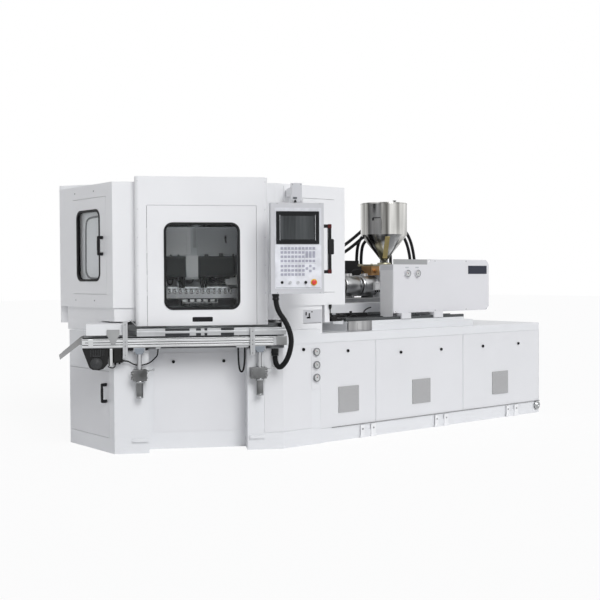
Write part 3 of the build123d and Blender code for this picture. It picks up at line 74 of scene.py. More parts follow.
def direct_rays(tree):
    """1 where the camera sees a surface straight, in a reflection or through glass."""
    rays = tree.nodes.new("ShaderNodeLightPath")
    total = rays.outputs["Is Camera Ray"]
    for kind in ("Is Glossy Ray", "Is Transmission Ray"):
        either = tree.nodes.new("ShaderNodeMath")
        either.operation = "MAXIMUM"
        tree.links.new(total, either.inputs[0])
        tree.links.new(rays.outputs[kind], either.inputs[1])
        total = either.outputs[0]
    return total


floor_mesh = bpy.data.meshes.new("studio_floor")
plan = bmesh.new()
floor_half = 60.0
bmesh.ops.create_grid(plan, x_segments=1, y_segments=1, size=floor_half)
plan.to_mesh(floor_mesh)
plan.free()
studio_floor = bpy.data.objects.new("studio_floor", floor_mesh)
bpy.context.scene.collection.objects.link(studio_floor)
floor_paint = material("studio_floor", (0.93, 0.93, 0.935), 0.9)
tree = floor_paint.node_tree
seen = tree.nodes.new("ShaderNodeEmission")
share = tree.nodes.new("ShaderNodeMath")
share.operation = "MULTIPLY"
share.inputs[1].default_value = 0.9
blend = tree.nodes.new("ShaderNodeMixShader")
tree.links.new(direct_rays(tree), share.inputs[0])
tree.links.new(share.outputs[0], blend.inputs[0])
tree.links.new(tree.nodes["Principled BSDF"].outputs[0], blend.inputs[1])
tree.links.new(seen.outputs[0], blend.inputs[2])
tree.links.new(blend.outputs[0], tree.nodes["Material Output"].inputs["Surface"])
floor_mesh.materials.append(floor_paint)

world = bpy.data.worlds.new("studio")
bpy.context.scene.world = world
world.use_nodes = True
sky = world.node_tree
backdrop = sky.nodes["Background"]
backdrop.inputs["Color"].default_value = (1.0, 1.0, 1.0, 1.0)
backdrop.inputs["Strength"].default_value = 1.0
ambient = sky.nodes.new("ShaderNodeBackground")
ambient.inputs["Color"].default_value = (0.96, 0.97, 1.0, 1.0)
ambient.inputs["Strength"].default_value = 0.40
chosen = sky.nodes.new("ShaderNodeMixShader")
sky.links.new(direct_rays(sky), chosen.inputs[0])
sky.links.new(ambient.outputs[0], chosen.inputs[1])
sky.links.new(backdrop.outputs[0], chosen.inputs[2])
sky.links.new(chosen.outputs[0], sky.nodes["World Output"].inputs["Surface"])

for name, strength, angle, direction in (
    ("key_light", 1.75, 30.0, (0.22, 0.97, -0.75)),
    ("fill_light", 0.15, 70.0, (-0.5, 1.0, -0.3)),
):
    lamp_data = bpy.data.lights.new(name, "SUN")
    lamp_data.energy = strength
    lamp_data.angle = math.radians(angle)
    lamp = bpy.data.objects.new(name, lamp_data)
    lamp.rotation_euler = Vector(direction).to_track_quat("-Z", "Y").to_euler()
    bpy.context.scene.collection.objects.link(lamp)

# Cords and hoses. A ribbed conduit hangs from the operator panel to the elbow on the base, the motor
# cable and the drain hose hang under the conveyor, and four rubber pressure hoses arch behind the hopper.
front_turn = math.radians(-30)
front_right = Vector((math.cos(front_turn), math.sin(front_turn), 0.0))
front_out = Vector((math.sin(front_turn), -math.cos(front_turn), 0.0))


def at_front(place, reach, height):
    """Point in metres from millimetres along the take-off station, out from the axis and up."""
    return (front_right * place + front_out * reach + Vector((0.0, 0.0, height))) / 1000


def route_curve(name, points):
    """Smooth open line along its control points."""
    data = bpy.data.curves.new(name, "CURVE")
    data.dimensions = "3D"
    data.resolution_u = 12
    line = data.splines.new("NURBS")
    line.points.add(len(points) - 1)
    for spot, place in zip(line.points, points):
        spot.co = (*place, 1.0)
    line.order_u = 3
    line.use_endpoint_u = True
    return data


def declare_cord(piece, points, diameter, length, stiffness, body, replaced, slot, **told):
    """Attaches a finished cord to its body and hides the CAD part it replaces."""
    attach(piece, body)
    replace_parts(piece, replaced)


def round_cord(name, finish, points, diameter, length, stiffness, body, replaced, slot):
    """Plain round cord."""
    data = route_curve(name, points)
    data.bevel_depth = diameter / 2
    data.bevel_resolution = 6
    piece = bpy.data.objects.new(name, data)
    bpy.context.scene.collection.objects.link(piece)
    data.materials.append(finish)
    declare_cord(piece, points, diameter, length, stiffness, body, replaced, slot)


def noise(tree, scale, detail=2.0, stretch=(1.0, 1.0, 1.0)):
    """Noise pattern on the piece's own coordinates."""
    place = tree.nodes.new("ShaderNodeTexCoord")
    mapping = tree.nodes.new("ShaderNodeMapping")
    mapping.inputs["Scale"].default_value = stretch
    pattern = tree.nodes.new("ShaderNodeTexNoise")
    pattern.inputs["Scale"].default_value = scale
    pattern.inputs["Detail"].default_value = detail
    tree.links.new(place.outputs["Object"], mapping.inputs["Vector"])
    tree.links.new(mapping.outputs["Vector"], pattern.inputs["Vector"])
    return pattern.outputs["Fac"]


def ramp(tree, value, low, high, start=0.3, end=0.7):
    """Colour ramp between two colours."""
    made = tree.nodes.new("ShaderNodeValToRGB")
    made.color_ramp.elements[0].position = start
    made.color_ramp.elements[0].color = (*low, 1.0)
    made.color_ramp.elements[1].position = end
    made.color_ramp.elements[1].color = (*high, 1.0)
    tree.links.new(value, made.inputs["Fac"])
    return made.outputs["Color"]


def bump(tree, value, strength, distance):
    """Fine relief on the shader."""
    made = tree.nodes.new("ShaderNodeBump")
    made.inputs["Strength"].default_value = strength
    made.inputs["Distance"].default_value = distance
    tree.links.new(value, made.inputs["Height"])
    tree.links.new(made.outputs["Normal"], tree.nodes["Principled BSDF"].inputs["Normal"])


def moulded(name, colour, roughness, grain=300.0):
    """Moulded rubber or plastic with a fine grain."""
    made = material(name, colour, roughness)
    tree = made.node_tree
    lighter = [min(1.0, channel * 1.25) for channel in colour]
    shader = tree.nodes["Principled BSDF"]
    shader.inputs["Specular IOR Level"].default_value = 0.5 if max(colour) > 0.1 else 0.15
    tree.links.new(ramp(tree, noise(tree, 14.0, 3.0), colour, lighter), shader.inputs["Base Color"])
    bump(tree, noise(tree, grain), 0.08, 0.0004)
    return made


hose_rubber = moulded("hose_rubber", (0.012, 0.012, 0.013), 0.45)
cable_skin = moulded("cable_skin", (0.014, 0.014, 0.015), 0.42)
conduit_skin = moulded("ribbed_conduit", (0.006, 0.006, 0.007), 0.5)
conduit_route = [at_front(*spot) for spot in (
    (595, 1200, 1340), (595, 1200, 1235), (690, 1185, 1110), (738, 1160, 975), (722, 1128, 850),
    (690, 1090, 765), (648, 1022, 712), (620, 946, 755), (620, 946, 816),
)]
conduit_diameter, conduit_length = 0.046, 0.858
rib_pitch, rib_depth = 0.0085, 0.0022
rings_per_rib = 4
guide = bpy.data.objects.new("conduit_guide", route_curve("conduit_guide", conduit_route))
guide_mesh = bpy.data.meshes.new_from_object(guide)
guide_line = [vertex.co.copy() for vertex in guide_mesh.vertices]
bpy.data.objects.remove(guide)
bpy.data.meshes.remove(guide_mesh)
stations = []
along = 0.0
wanted = 0.0
for start, end in zip(guide_line, guide_line[1:]):
    step = (end - start).length
    while step and wanted <= along + step:
        stations.append((start.lerp(end, (wanted - along) / step), (end - start).normalized()))
        wanted += rib_pitch / rings_per_rib
    along += step
tube = bmesh.new()
side_way = front_right.copy()
last_ring = None
for count, (place, heading) in enumerate(stations):
    side_way = (side_way - heading * side_way.dot(heading)).normalized()
    other_way = heading.cross(side_way)
    radius = conduit_diameter / 2 - (rib_depth if count % rings_per_rib in (0, 1) else 0.0)
    ring = bmesh.ops.create_circle(tube, cap_ends=False, segments=20, radius=radius)["verts"]
    matrix = Matrix((side_way, other_way, heading)).transposed().to_4x4()
    bmesh.ops.transform(tube, matrix=Matrix.Translation(place) @ matrix, verts=ring)
    new_ring = list(dict.fromkeys(edge for vertex in ring for edge in vertex.link_edges))
    if last_ring:
        bmesh.ops.bridge_loops(tube, edges=last_ring + new_ring)
    last_ring = new_ring
bmesh.ops.holes_fill(tube, edges=[edge for edge in tube.edges if edge.is_boundary], sides=0)
bmesh.ops.recalc_face_normals(tube, faces=tube.faces)
for face in tube.faces:
    face.smooth = len(face.verts) == 4
conduit_mesh = bpy.data.meshes.new("conduit")
tube.to_mesh(conduit_mesh)
tube.free()
conduit = bpy.data.objects.new("conduit", conduit_mesh)
bpy.context.scene.collection.objects.link(conduit)
conduit_mesh.materials.append(conduit_skin)
declare_cord(conduit, conduit_route, conduit_diameter, conduit_length, "medium", "machine", "pendant_conduit",
             "conduit_grey", path=[place for place, heading in stations])
cable_diameter, cable_length = 0.012, 0.433
cable_route = [at_front(*spot) for spot in (
    (-680, 945, 795), (-635, 945, 795), (-590, 944, 762), (-530, 944, 752), (-455, 945, 772), (-408, 890, 808),
    (-381, 826, 835), (-381, 826, 896),
)]
round_cord("motor_cable", cable_skin, cable_route, cable_diameter, cable_length, "medium", "conveyor",
           "conveyor_lines", "cable_black")
drain_diameter, drain_length = 0.016, 0.451
drain_route = [at_front(*spot) for spot in (
    (305, 900, 896), (305, 900, 790), (318, 892, 680), (350, 878, 675), (366, 868, 780), (366, 868, 896),
)]
round_cord("drain_hose", cable_skin, drain_route, drain_diameter, drain_length, "limp", "conveyor",
           "conveyor_lines", "cable_black")
hose_diameter = 0.036
pressure_side, valve_side = 0.44, 0.482
for name, side, length, route in (
    ("outer_pressure_hose", pressure_side, 3.3, (
        (3.4, 1.25), (3.4, 1.5), (3.384, 1.75), (3.305, 1.975), (3.15, 2.105), (2.97, 2.16), (2.8, 2.158),
        (2.625, 2.085), (2.445, 1.96), (2.263, 1.85), (2.08, 1.765), (1.88, 1.695), (1.66, 1.652), (1.43, 1.634),
        (1.19, 1.62), (0.957, 1.62),
    )),
    ("inner_pressure_hose", pressure_side, 3.15, (
        (3.33, 1.25), (3.33, 1.498), (3.315, 1.736), (3.245, 1.934), (3.116, 2.042), (2.96, 2.09), (2.814, 2.088),
        (2.659, 2.023), (2.483, 1.901), (2.296, 1.788), (2.106, 1.7), (1.898, 1.627), (1.669, 1.583),
        (1.435, 1.564), (1.192, 1.55), (0.957, 1.55),
    )),
    ("outer_valve_hose", valve_side, 1.5, (
        (2.49, 1.64), (2.49, 1.843), (2.593, 1.985), (2.76, 2.039), (2.927, 1.985), (3.024, 1.843),
        (3.034, 1.61), (3.03, 1.42), (3.03, 1.25),
    )),
    ("inner_valve_hose", valve_side, 1.3, (
        (2.56, 1.64), (2.56, 1.8203), (2.6363, 1.9254), (2.76, 1.9654), (2.8827, 1.9258), (2.9549, 1.82),
        (2.964, 1.6092), (2.96, 1.4207), (2.96, 1.25),
    )),
):
    hose_route = [Vector((x, side, z)) for x, z in route]
    round_cord(name, hose_rubber, hose_route, hose_diameter, length, "medium", "machine", "hydraulic_lines",
               "hose_black")


# Painted steel. The base, shell, doors and guard are folded sheet steel with a smooth cool white powder
# coat, a little uneven in tone and glossy enough for soft highlights; platens and frames are painted grey.
def spread(tree, value, low, high):
    """Number spread between two limits."""
    made = tree.nodes.new("ShaderNodeMapRange")
    made.inputs["To Min"].default_value = low
    made.inputs["To Max"].default_value = high
    tree.links.new(value, made.inputs["Value"])
    return made.outputs["Result"]


def painted(name, colour, roughness=0.35, drift=0.955, peel=0.04):
    """Powder-coated steel: slight tone drift, fine peel and uneven gloss."""
    made = material(name, colour, roughness)
    tree = made.node_tree
    shader = tree.nodes["Principled BSDF"]
    shader.inputs["Specular IOR Level"].default_value = 0.5 if max(colour) > 0.1 else 0.15
    darker = [channel * drift for channel in colour]
    tree.links.new(ramp(tree, noise(tree, 1.3, 4.0), darker, colour), shader.inputs["Base Color"])
    tree.links.new(spread(tree, noise(tree, 9.0), roughness - 0.05, roughness + 0.07), shader.inputs["Roughness"])
    bump(tree, noise(tree, 420.0), peel, 0.0004)
    return made


def dress(finish, *names):
    """Gives CAD nodes a finish."""
    for name in names:
        mesh = nodes[name].data
        mesh.materials.clear()
        mesh.materials.append(finish)


shell_white = painted("shell_white", (0.82, 0.825, 0.84), 0.3)
base_white = painted("base_white", (0.735, 0.745, 0.765), 0.34)
# Base panels and cabinet door: a darker copy of the white paint, painted shade on the base below the conveyor.
panel_white_shaded = painted("panel_white_shaded", (0.72, 0.725, 0.745), 0.38)
guard_white = painted("guard_white", (0.70, 0.70, 0.725), 0.36)
pendant_white = painted("pendant_white", (0.57, 0.575, 0.60), 0.4)
platen_grey = painted("platen_grey", (0.10, 0.11, 0.12), 0.4, 0.85)
frame_grey = painted("frame_grey", (0.24, 0.25, 0.255), 0.42, 0.88)
dress(shell_white, "tower_skirt", "tower_shell", "front_hood", "rear_hood", "front_door", "rear_door", "left_door",
      "right_door", "pendant_arm")
dress(base_white, "tower_base", "injection_base", "bed_slab", "injection_carriage")
dress(panel_white_shaded, "base_panels", "base_door")
dress(guard_white, "sliding_guard")
dress(pendant_white, "pendant_case")
dress(platen_grey, "injection_platen", "blow_platen", "injection_drive")
dress(frame_grey, "stripper_frame")


# Machined steel, chrome and aluminium of the presses, head, rails and conveyor: bare metal that is
# milled, turned, extruded or polished, so each keeps fine marks along one way.
def machined(name, colour, roughness, streak=(1.0, 1.0, 60.0), relief=0.08, drift=0.78):
    """Bare metal with fine tool marks along one way and a little staining."""
    made = material(name, colour, roughness, 1.0)
    tree = made.node_tree
    shader = tree.nodes["Principled BSDF"]
    darker = [channel * drift for channel in colour]
    tree.links.new(ramp(tree, noise(tree, 5.0, 5.0), darker, colour), shader.inputs["Base Color"])
    marks = noise(tree, 40.0, 3.0, streak)
    tree.links.new(spread(tree, marks, roughness - 0.08, roughness + 0.12), shader.inputs["Roughness"])
    bump(tree, marks, relief, 0.0003)
    return made


ground_steel = machined("ground_steel", (0.36, 0.37, 0.38), 0.34)
turned_steel = machined("turned_steel", (0.42, 0.43, 0.44), 0.24, (1.0, 1.0, 60.0), 0.08, 0.55)
mould_steel = machined("mould_steel", (0.30, 0.31, 0.32), 0.36)
polished_rod = machined("polished_rod", (0.72, 0.73, 0.74), 0.14)
extruded_aluminium = machined("extruded_aluminium", (0.50, 0.51, 0.525), 0.36, (1.0, 1.0, 40.0), 0.05)
stripper_metal = machined("stripper_metal", (0.40, 0.40, 0.41), 0.36, (1.0, 1.0, 1.0), 0.1, 0.6)
dial_steel = machined("dial_steel", (0.45, 0.46, 0.47), 0.25)
grille_paint = painted("grille_paint", (0.44, 0.44, 0.44), 0.45)
dress(ground_steel, "machine_bed", "turret_head")
dress(turned_steel, "press_frame", "index_sleeve", "drive_roller", "idler_roller")
dress(mould_steel, "lower_moulds")
dress(polished_rod, "core_rods", "screw")
dress(extruded_aluminium, "conveyor_frame")
dress(stripper_metal, "stripper_bar")
dress(dial_steel, "gauges")
dress(grille_paint, "vent_grilles")


# Rubber, plastic and glass: window seals, handles, knobs, belt and the clear panes. The rubber and
# the plastic are moulded, with a fine grain; the panes are clear sheet held in their seals.
black_rubber = moulded("black_rubber", (0.012, 0.012, 0.013), 0.5)
black_plastic = moulded("black_plastic", (0.010, 0.010, 0.011), 0.36)
belt_grey = moulded("belt_grey", (0.07, 0.075, 0.08), 0.6, 600.0)
motor_black = painted("motor_black", (0.018, 0.018, 0.018), 0.5, 0.7, 0.15)
dress(black_rubber, "front_seal", "rear_seal", "left_seal", "pendant_conduit", "conveyor_lines", "hydraulic_lines")
dress(black_plastic, "panel_knobs", "base_door_handle", "left_handle", "selector", "valve_stand")
dress(belt_grey, "conveyor_belt")
dress(motor_black, "conveyor_motor")
clear_pane = material("clear_pane", (0.90, 0.92, 0.925), 0.03)
pane_shader = clear_pane.node_tree.nodes["Principled BSDF"]
pane_shader.inputs["Transmission Weight"].default_value = 1.0
pane_shader.inputs["IOR"].default_value = 1.2
dress(clear_pane, "front_pane", "rear_pane", "left_pane")
dress(moulded("stop_red", (0.55, 0.015, 0.01), 0.3), "e_stop")
dress(moulded("button_pale", (0.42, 0.43, 0.45), 0.3), "left_button", "right_button")
panel_grey = moulded("panel_grey", (0.56, 0.57, 0.60), 0.45)
dress(panel_grey, "pendant_panel")


# Pressure gauges: three on the narrow plate at the base's corner and two on the guard. Each has a
# steel case from the CAD, a white dial with printed ticks, a red needle and a thin steel rim.
def finish_piece(name, mesh, finish, body="machine"):
    """Turns a bmesh into a named piece that rides on a body."""
    data = bpy.data.meshes.new(name)
    mesh.to_mesh(data)
    mesh.free()
    piece = bpy.data.objects.new(name, data)
    bpy.context.scene.collection.objects.link(piece)
    data.materials.append(finish)
    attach(piece, body)
    return piece


def place_on(face_origin, face_right, face_out, mesh):
    """Moves a flat drawing (x right, y up, z out) on to an upright face."""
    matrix = Matrix((face_right, Vector((0, 0, 1)), face_out)).transposed().to_4x4()
    bmesh.ops.transform(mesh, matrix=Matrix.Translation(face_origin) @ matrix, verts=mesh.verts)


def brick(mesh, low, high, edge=0.0, segments=2):
    """Box between two corners, with its edges rounded."""
    made = bmesh.ops.create_cube(mesh, size=1.0)["verts"]
    bmesh.ops.scale(mesh, vec=[top - bottom for bottom, top in zip(low, high)], verts=made)
    bmesh.ops.translate(mesh, vec=[(top + bottom) / 2 for bottom, top in zip(low, high)], verts=made)
    if edge:
        edges = list(dict.fromkeys(side for vertex in made for side in vertex.link_edges))
        bmesh.ops.bevel(mesh, geom=edges, offset=edge, segments=segments, profile=0.5, affect="EDGES", material=-1)


def bar(mesh, start, end, radius, end_radius=None, sides=24):
    """Round bar between two points, its rims left sharp."""
    start, end = Vector(start), Vector(end)
    axis = end - start
    matrix = Matrix.Translation((start + end) / 2) @ axis.to_track_quat("Z", "Y").to_matrix().to_4x4()
    bmesh.ops.create_cone(mesh, cap_ends=True, segments=sides, radius1=radius,
                          radius2=radius if end_radius is None else end_radius, depth=axis.length, matrix=matrix)


def turned(mesh, outline, centre, axis, sides=32):
    """Solid of revolution: outline gives (radius, distance along the axis) from end to end."""
    before = set(mesh.verts)
    spots = [mesh.verts.new((radius, 0.0, height)) for radius, height in outline]
    edges = [mesh.edges.new(pair) for pair in zip(spots, spots[1:])]
    bmesh.ops.spin(mesh, geom=spots + edges, cent=(0, 0, 0), axis=(0, 0, 1), angle=2 * math.pi, steps=sides,
                   use_merge=True)
    made = [vertex for vertex in mesh.verts if vertex not in before]
    bmesh.ops.remove_doubles(mesh, verts=made, dist=0.00002)
    made = [vertex for vertex in mesh.verts if vertex not in before]
    faces = list(dict.fromkeys(face for vertex in made for face in vertex.link_faces))
    bmesh.ops.recalc_face_normals(mesh, faces=faces)
    for face in faces:
        face.smooth = True
    matrix = Matrix.Translation(centre) @ Vector(axis).to_track_quat("Z", "Y").to_matrix().to_4x4()
    bmesh.ops.transform(mesh, matrix=matrix, verts=made)


dial_white = moulded("dial_white", (0.46, 0.47, 0.47), 0.3)
rim_steel = machined("rim_steel", (0.16, 0.165, 0.17), 0.3)
dial_black = moulded("dial_black", (0.03, 0.03, 0.035), 0.4)
needle_red = moulded("needle_red", (0.45, 0.02, 0.015), 0.4)
dial_radius = 0.0285
dial_thickness = 0.0012
first_tick, tick_step = 225, 27
first_reading, reading_step = 150, 35
for group, body, slot, spots in (
    ("base_gauge", "machine", "gauge_steel", [(0.515, -1.1581, z) for z in (0.828, 0.710, 0.597)]),
    ("guard_gauge", "guard", "guard_paint", [(x, -0.9791, 1.527) for x in (1.85, 1.99)]),
):
    dials, ticks, needles, rims = bmesh.new(), bmesh.new(), bmesh.new(), bmesh.new()
    for count, spot in enumerate(spots):
        dial, scale_marks, needle, rim = bmesh.new(), bmesh.new(), bmesh.new(), bmesh.new()
        bar(dial, (0, 0, 0), (0, 0, dial_thickness), dial_radius, sides=40)
        for step in range(11):
            before = set(scale_marks.verts)
            brick(scale_marks, (0.68 * dial_radius, -0.0006, dial_thickness), (0.90 * dial_radius, 0.0006, 0.0016))
            fresh = [vertex for vertex in scale_marks.verts if vertex not in before]
            angle = math.radians(first_tick - tick_step * step)
            bmesh.ops.rotate(scale_marks, matrix=Matrix.Rotation(angle, 3, "Z"), verts=fresh)
        bar(scale_marks, (0, 0, dial_thickness), (0, 0, 0.003), 0.16 * dial_radius, sides=20)
        brick(needle, (-0.15 * dial_radius, -0.0007, 0.0018), (0.78 * dial_radius, 0.0007, 0.0024))
        reading = math.radians(first_reading - reading_step * count)
        bmesh.ops.rotate(needle, matrix=Matrix.Rotation(reading, 3, "Z"), verts=needle.verts)
        rim_outline = [(dial_radius + width, height) for width, height in (
            (0.001, 0.0005), (0.001, 0.0042), (0.0035, 0.006), (0.0062, 0.0042), (0.0070, 0.0005), (0.001, 0.0005))]
        turned(rim, rim_outline, (0, 0, 0), (0, 0, 1), 40)
        for target, drawn in ((dials, dial), (ticks, scale_marks), (needles, needle), (rims, rim)):
            place_on(Vector(spot), Vector((1, 0, 0)), Vector((0, -1, 0)), drawn)
            carried = bpy.data.meshes.new("carried")
            drawn.to_mesh(carried)
            drawn.free()
            target.from_mesh(carried)
            bpy.data.meshes.remove(carried)
    finish_piece(group + "_dials", dials, dial_white, body)
    finish_piece(group + "_ticks", ticks, dial_black, body)
    finish_piece(group + "_needles", needles, needle_red, body)
    finish_piece(group + "_rims", rims, rim_steel, body)

# Operator panel. A black moulded screen bezel with its glass, a printed keypad sheet with membrane keys,
# an arrow pad and a bottom row of switches stand on the panel front. The stop button is a red mushroom.
panel_origin = at_front(775, 1250, 1736)
panel_face = 0.0031
print_face = 0.0034
key_top = 0.0062
key_lilac = moulded("key_lilac", (0.33, 0.335, 0.40), 0.45)
keypad_white = moulded("keypad_white", (0.64, 0.65, 0.69), 0.5)
keypad_line = moulded("keypad_line", (0.40, 0.42, 0.44), 0.5)
screen_black = moulded("screen_black", (0.010, 0.011, 0.012), 0.3)
screen_glass = material("screen_glass", (0.035, 0.040, 0.042), 0.12)
tree = screen_glass.node_tree
shader = tree.nodes["Principled BSDF"]
shader.inputs["Specular IOR Level"].default_value = 0.3
# Soft upright streaks in the screen glass's colour are painted reflection.
screen_reflection_streaks = noise(tree, 3.0, 3.0, (4.0, 4.0, 0.3))
tree.links.new(ramp(tree, screen_reflection_streaks, (0.018, 0.021, 0.023), (0.085, 0.092, 0.096)), shader.inputs["Base Color"])
stop_yellow = moulded("stop_yellow", (0.72, 0.50, 0.03), 0.4)
button_white = moulded("button_white", (0.62, 0.63, 0.64), 0.35)


def blocks(*boxes):
    """Drawing made of boxes, each given by two corners, its edge radius and the segments of its edges."""
    mesh = bmesh.new()
    for box in boxes:
        brick(mesh, *box)
    return mesh


def panel_piece(name, mesh, finish, body="machine"):
    """Places a drawing on the operator panel's front and finishes it."""
    place_on(panel_origin, front_right, front_out, mesh)
    return finish_piece(name, mesh, finish, body)


bezel = blocks(((-0.1805, 0.0345, panel_face), (0.1845, 0.3095, 0.0102), 0.004, 3))
bezel_rim, glass_step, glass_drop = 0.038, 0.001, -0.0030
for thickness, drop in ((bezel_rim, 0.0), (glass_step, glass_drop)):
    front_face = max(bezel.faces, key=lambda face: (round(face.calc_center_median().z, 5), face.calc_area()))
    bmesh.ops.inset_region(bezel, faces=[front_face], thickness=thickness)
    bmesh.ops.translate(bezel, vec=(0, 0, drop), verts=front_face.verts)
panel_piece("screen_bezel", bezel, screen_black)
panel_piece("screen_glass", blocks(((-0.1415, 0.0735, 0.0060), (0.1455, 0.2705, 0.0082))), screen_glass)
panel_piece("keypad_sheet", blocks(((-0.189, -0.335, 0.0030), (0.201, 0.028, print_face))), keypad_white)
panel_piece("keypad_lines", blocks(*(
    ((*low, print_face), (*high, 0.0037)) for low, high in (
        ((-0.150, -0.0135), (0.156, -0.0115)), ((-0.150, -0.128), (0.156, -0.126)),
        ((-0.182, -0.3325), (0.194, -0.326)), ((0.058, -0.128), (0.060, -0.012)),
    ))), keypad_line)
keys = bmesh.new()
key_half, pad_half, key_edge = 0.0115, 0.0105, 0.0015
first_key, key_pitch = -132, 30
key_columns = [(first_key + key_pitch * column) / 1000 for column in range(10)]
key_rows = [height / 1000 for height in (0, -34, -70, -106, -148, -184, -219)]
for row, y in enumerate(key_rows):
    for x in key_columns if row in (0, 3) else key_columns[:7]:
        brick(keys, (x - key_half, y - pad_half, panel_face), (x + key_half, y + pad_half, key_top), key_edge)
tall_low, tall_high = -0.0795, -0.0245
for x in key_columns[7:]:
    brick(keys, (x - key_half, tall_low, panel_face), (x + key_half, tall_high, key_top), key_edge)
for x, y in ((0.138, -0.169), (0.078, -0.169), (0.108, -0.148), (0.108, -0.190)):
    brick(keys, (x - pad_half, y - pad_half, panel_face), (x + pad_half, y + pad_half, key_top), key_edge)
panel_piece("panel_keys", keys, key_lilac)
switch_row = -0.285
stop_place = 0.138
stop_base = bmesh.new()
bar(stop_base, (stop_place, switch_row, panel_face), (stop_place, switch_row, key_top), 0.0285, 0.0275, 40)
panel_piece("stop_ring", stop_base, stop_yellow)
cap = bmesh.new()
turned(cap, ((0.0, -0.02), (0.0079, -0.02), (0.0079, 0.0105), (0.0200, 0.0108), (0.0208, 0.0150), (0.0200, 0.0195),
             (0.0160, 0.0235), (0.0080, 0.0248), (0.0, 0.0250)), (stop_place, switch_row, 0.0), (0, 0, 1), 40)
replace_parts(panel_piece("stop_cap", cap, bpy.data.materials["stop_red"], "e_stop"), "e_stop")
rings = bmesh.new()
for x in (-0.064, 0.004, 0.068):
    turned(rings, ((0.0112, panel_face), (0.0158, panel_face), (0.0152, 0.0058), (0.0118, 0.0064),
                   (0.0112, panel_face)), (x, switch_row, 0.0), (0, 0, 1), 32)
panel_piece("button_rings", rings, button_white)
key_lock = bmesh.new()
bar(key_lock, (-0.132, switch_row, panel_face), (-0.132, switch_row, 0.0075), 0.0125, 0.0115, 32)
brick(key_lock, (-0.1335, -0.292, 0.0075), (-0.1305, -0.278, 0.0085), 0.0004)
panel_piece("key_switch", key_lock, screen_black)

# Panel handle and support. The handle is a black bar bent back to the case, with a thick rubber grip and
# dark red end caps; the support box on the arm has a screwed cover, a bare plate and a cable nozzle.
handle_red = moulded("handle_red", (0.07, 0.010, 0.010), 0.45)
handle = blocks(((0.2655, -0.2105, -0.0615), (0.2965, 0.2025, -0.0305), 0.006, 3),
                *(((0.2245, y, -0.0605), (0.2700, y + 0.0285, -0.0315), 0.005, 3) for y in (-0.2105, 0.1735)))
panel_piece("side_handle", handle, black_plastic)
grip = blocks(((0.2660, -0.051, -0.0680), (0.3180, 0.080, -0.0245), 0.011, 4))
panel_piece("handle_grip", grip, black_rubber)
caps = blocks(*(((0.2640, low, -0.0630), (0.2980, high, -0.0290), 0.006, 3)
                for low, high in ((-0.2125, -0.176), (0.168, 0.2045))))
panel_piece("handle_caps", caps, handle_red)
case_half, case_rise, seam_back, seam_front = 0.2252, 0.3800, -0.052, -0.050
seam = blocks(*(((*low, seam_back), (*high, seam_front)) for low, high in (
    ((-case_half, -0.3803), (case_half, -case_rise)), ((-case_half, case_rise), (case_half, 0.3803)),
    ((-0.2253, -case_rise), (-0.2250, case_rise)), ((0.2250, -case_rise), (0.2253, case_rise)))))
panel_piece("case_seam", seam, keypad_line)
cover_face = -0.0160
support_cover = blocks(((-0.043, 0.385, -0.0202), (0.043, 0.545, cover_face), 0.0025))
panel_piece("support_cover", support_cover, pendant_white)
screws = bmesh.new()
for x in (-0.035, 0.035):
    for y in (0.396, 0.534):
        bar(screws, (x, y, cover_face), (x, y, -0.0135), 0.0048, 0.0040, 16)
for x in (-0.17, 0.19):
    for y in (0.372, 0.018, -0.372):
        bar(screws, (x, y, 0.0), (x, y, 0.0022), 0.0042, 0.0034, 16)
panel_piece("panel_screws", screws, dial_steel)
plate = blocks(((-0.033, 0.412, cover_face), (0.001, 0.430, -0.0148), 0.0005))
panel_piece("bare_plate", plate, platen_grey)
nozzle = bmesh.new()
turned(nozzle, ((0.0, 0.0), (0.012, 0.0), (0.012, 0.006), (0.008, 0.009), (0.007, 0.020), (0.0, 0.021)),
       (-0.016, 0.384, -0.002), (0, 1, 0), 24)
panel_piece("cable_nozzle", nozzle, black_rubber)
collar = bmesh.new()
turned(collar, ((0.0, 1.302), (0.0262, 1.302), (0.0285, 1.306), (0.0285, 1.318), (0.0262, 1.320), (0.0262, 1.334),
                (0.0300, 1.335), (0.0300, 1.352), (0.0290, 1.3555), (0.0, 1.3555)),
       at_front(595, 1200, 0), (0, 0, 1), 32)
finish_piece("conduit_collar", collar, black_plastic, "machine")


# Behind the front window. Grey cover plates hang over the black stripping cylinders, with a pale bracket
# between them, a ribbed white valve terminal, black push-in fittings and loose black air lines.
def station_piece(name, mesh, finish, body="machine"):
    """Turns a drawing made along the take-off station (x along it, y inwards) into a piece."""
    bmesh.ops.rotate(mesh, matrix=Matrix.Rotation(front_turn, 3, "Z"), verts=mesh.verts)
    return finish_piece(name, mesh, finish, body)


def along_station(mesh, places, reaches, heights, edge=0.0, segments=2):
    """Block in millimetres along the take-off station, out from the axis and up."""
    brick(mesh, (places[0] / 1000, -reaches[1] / 1000, heights[0] / 1000),
          (places[1] / 1000, -reaches[0] / 1000, heights[1] / 1000), edge / 1000, segments)


def station_blocks(*boxes):
    """Drawing made of blocks along the station, each as along_station takes it."""
    mesh = bmesh.new()
    for box in boxes:
        along_station(mesh, *box)
    return mesh


def station_bar(mesh, start, end, radius, sides=20):
    """Round bar in millimetres between two points given as place, reach and height."""
    bar(mesh, (start[0] / 1000, -start[1] / 1000, start[2] / 1000), (end[0] / 1000, -end[1] / 1000, end[2] / 1000),
        radius / 1000, sides=sides)


def station_post(mesh, place, reach, low, high, radius, sides=20):
    """Upright round bar in millimetres."""
    station_bar(mesh, (place, reach, low), (place, reach, high), radius, sides)


def station_stud(mesh, place, height, back, front, radius, sides=20):
    """Round bar in millimetres that points straight out of the station."""
    station_bar(mesh, (place, back, height), (place, front, height), radius, sides)


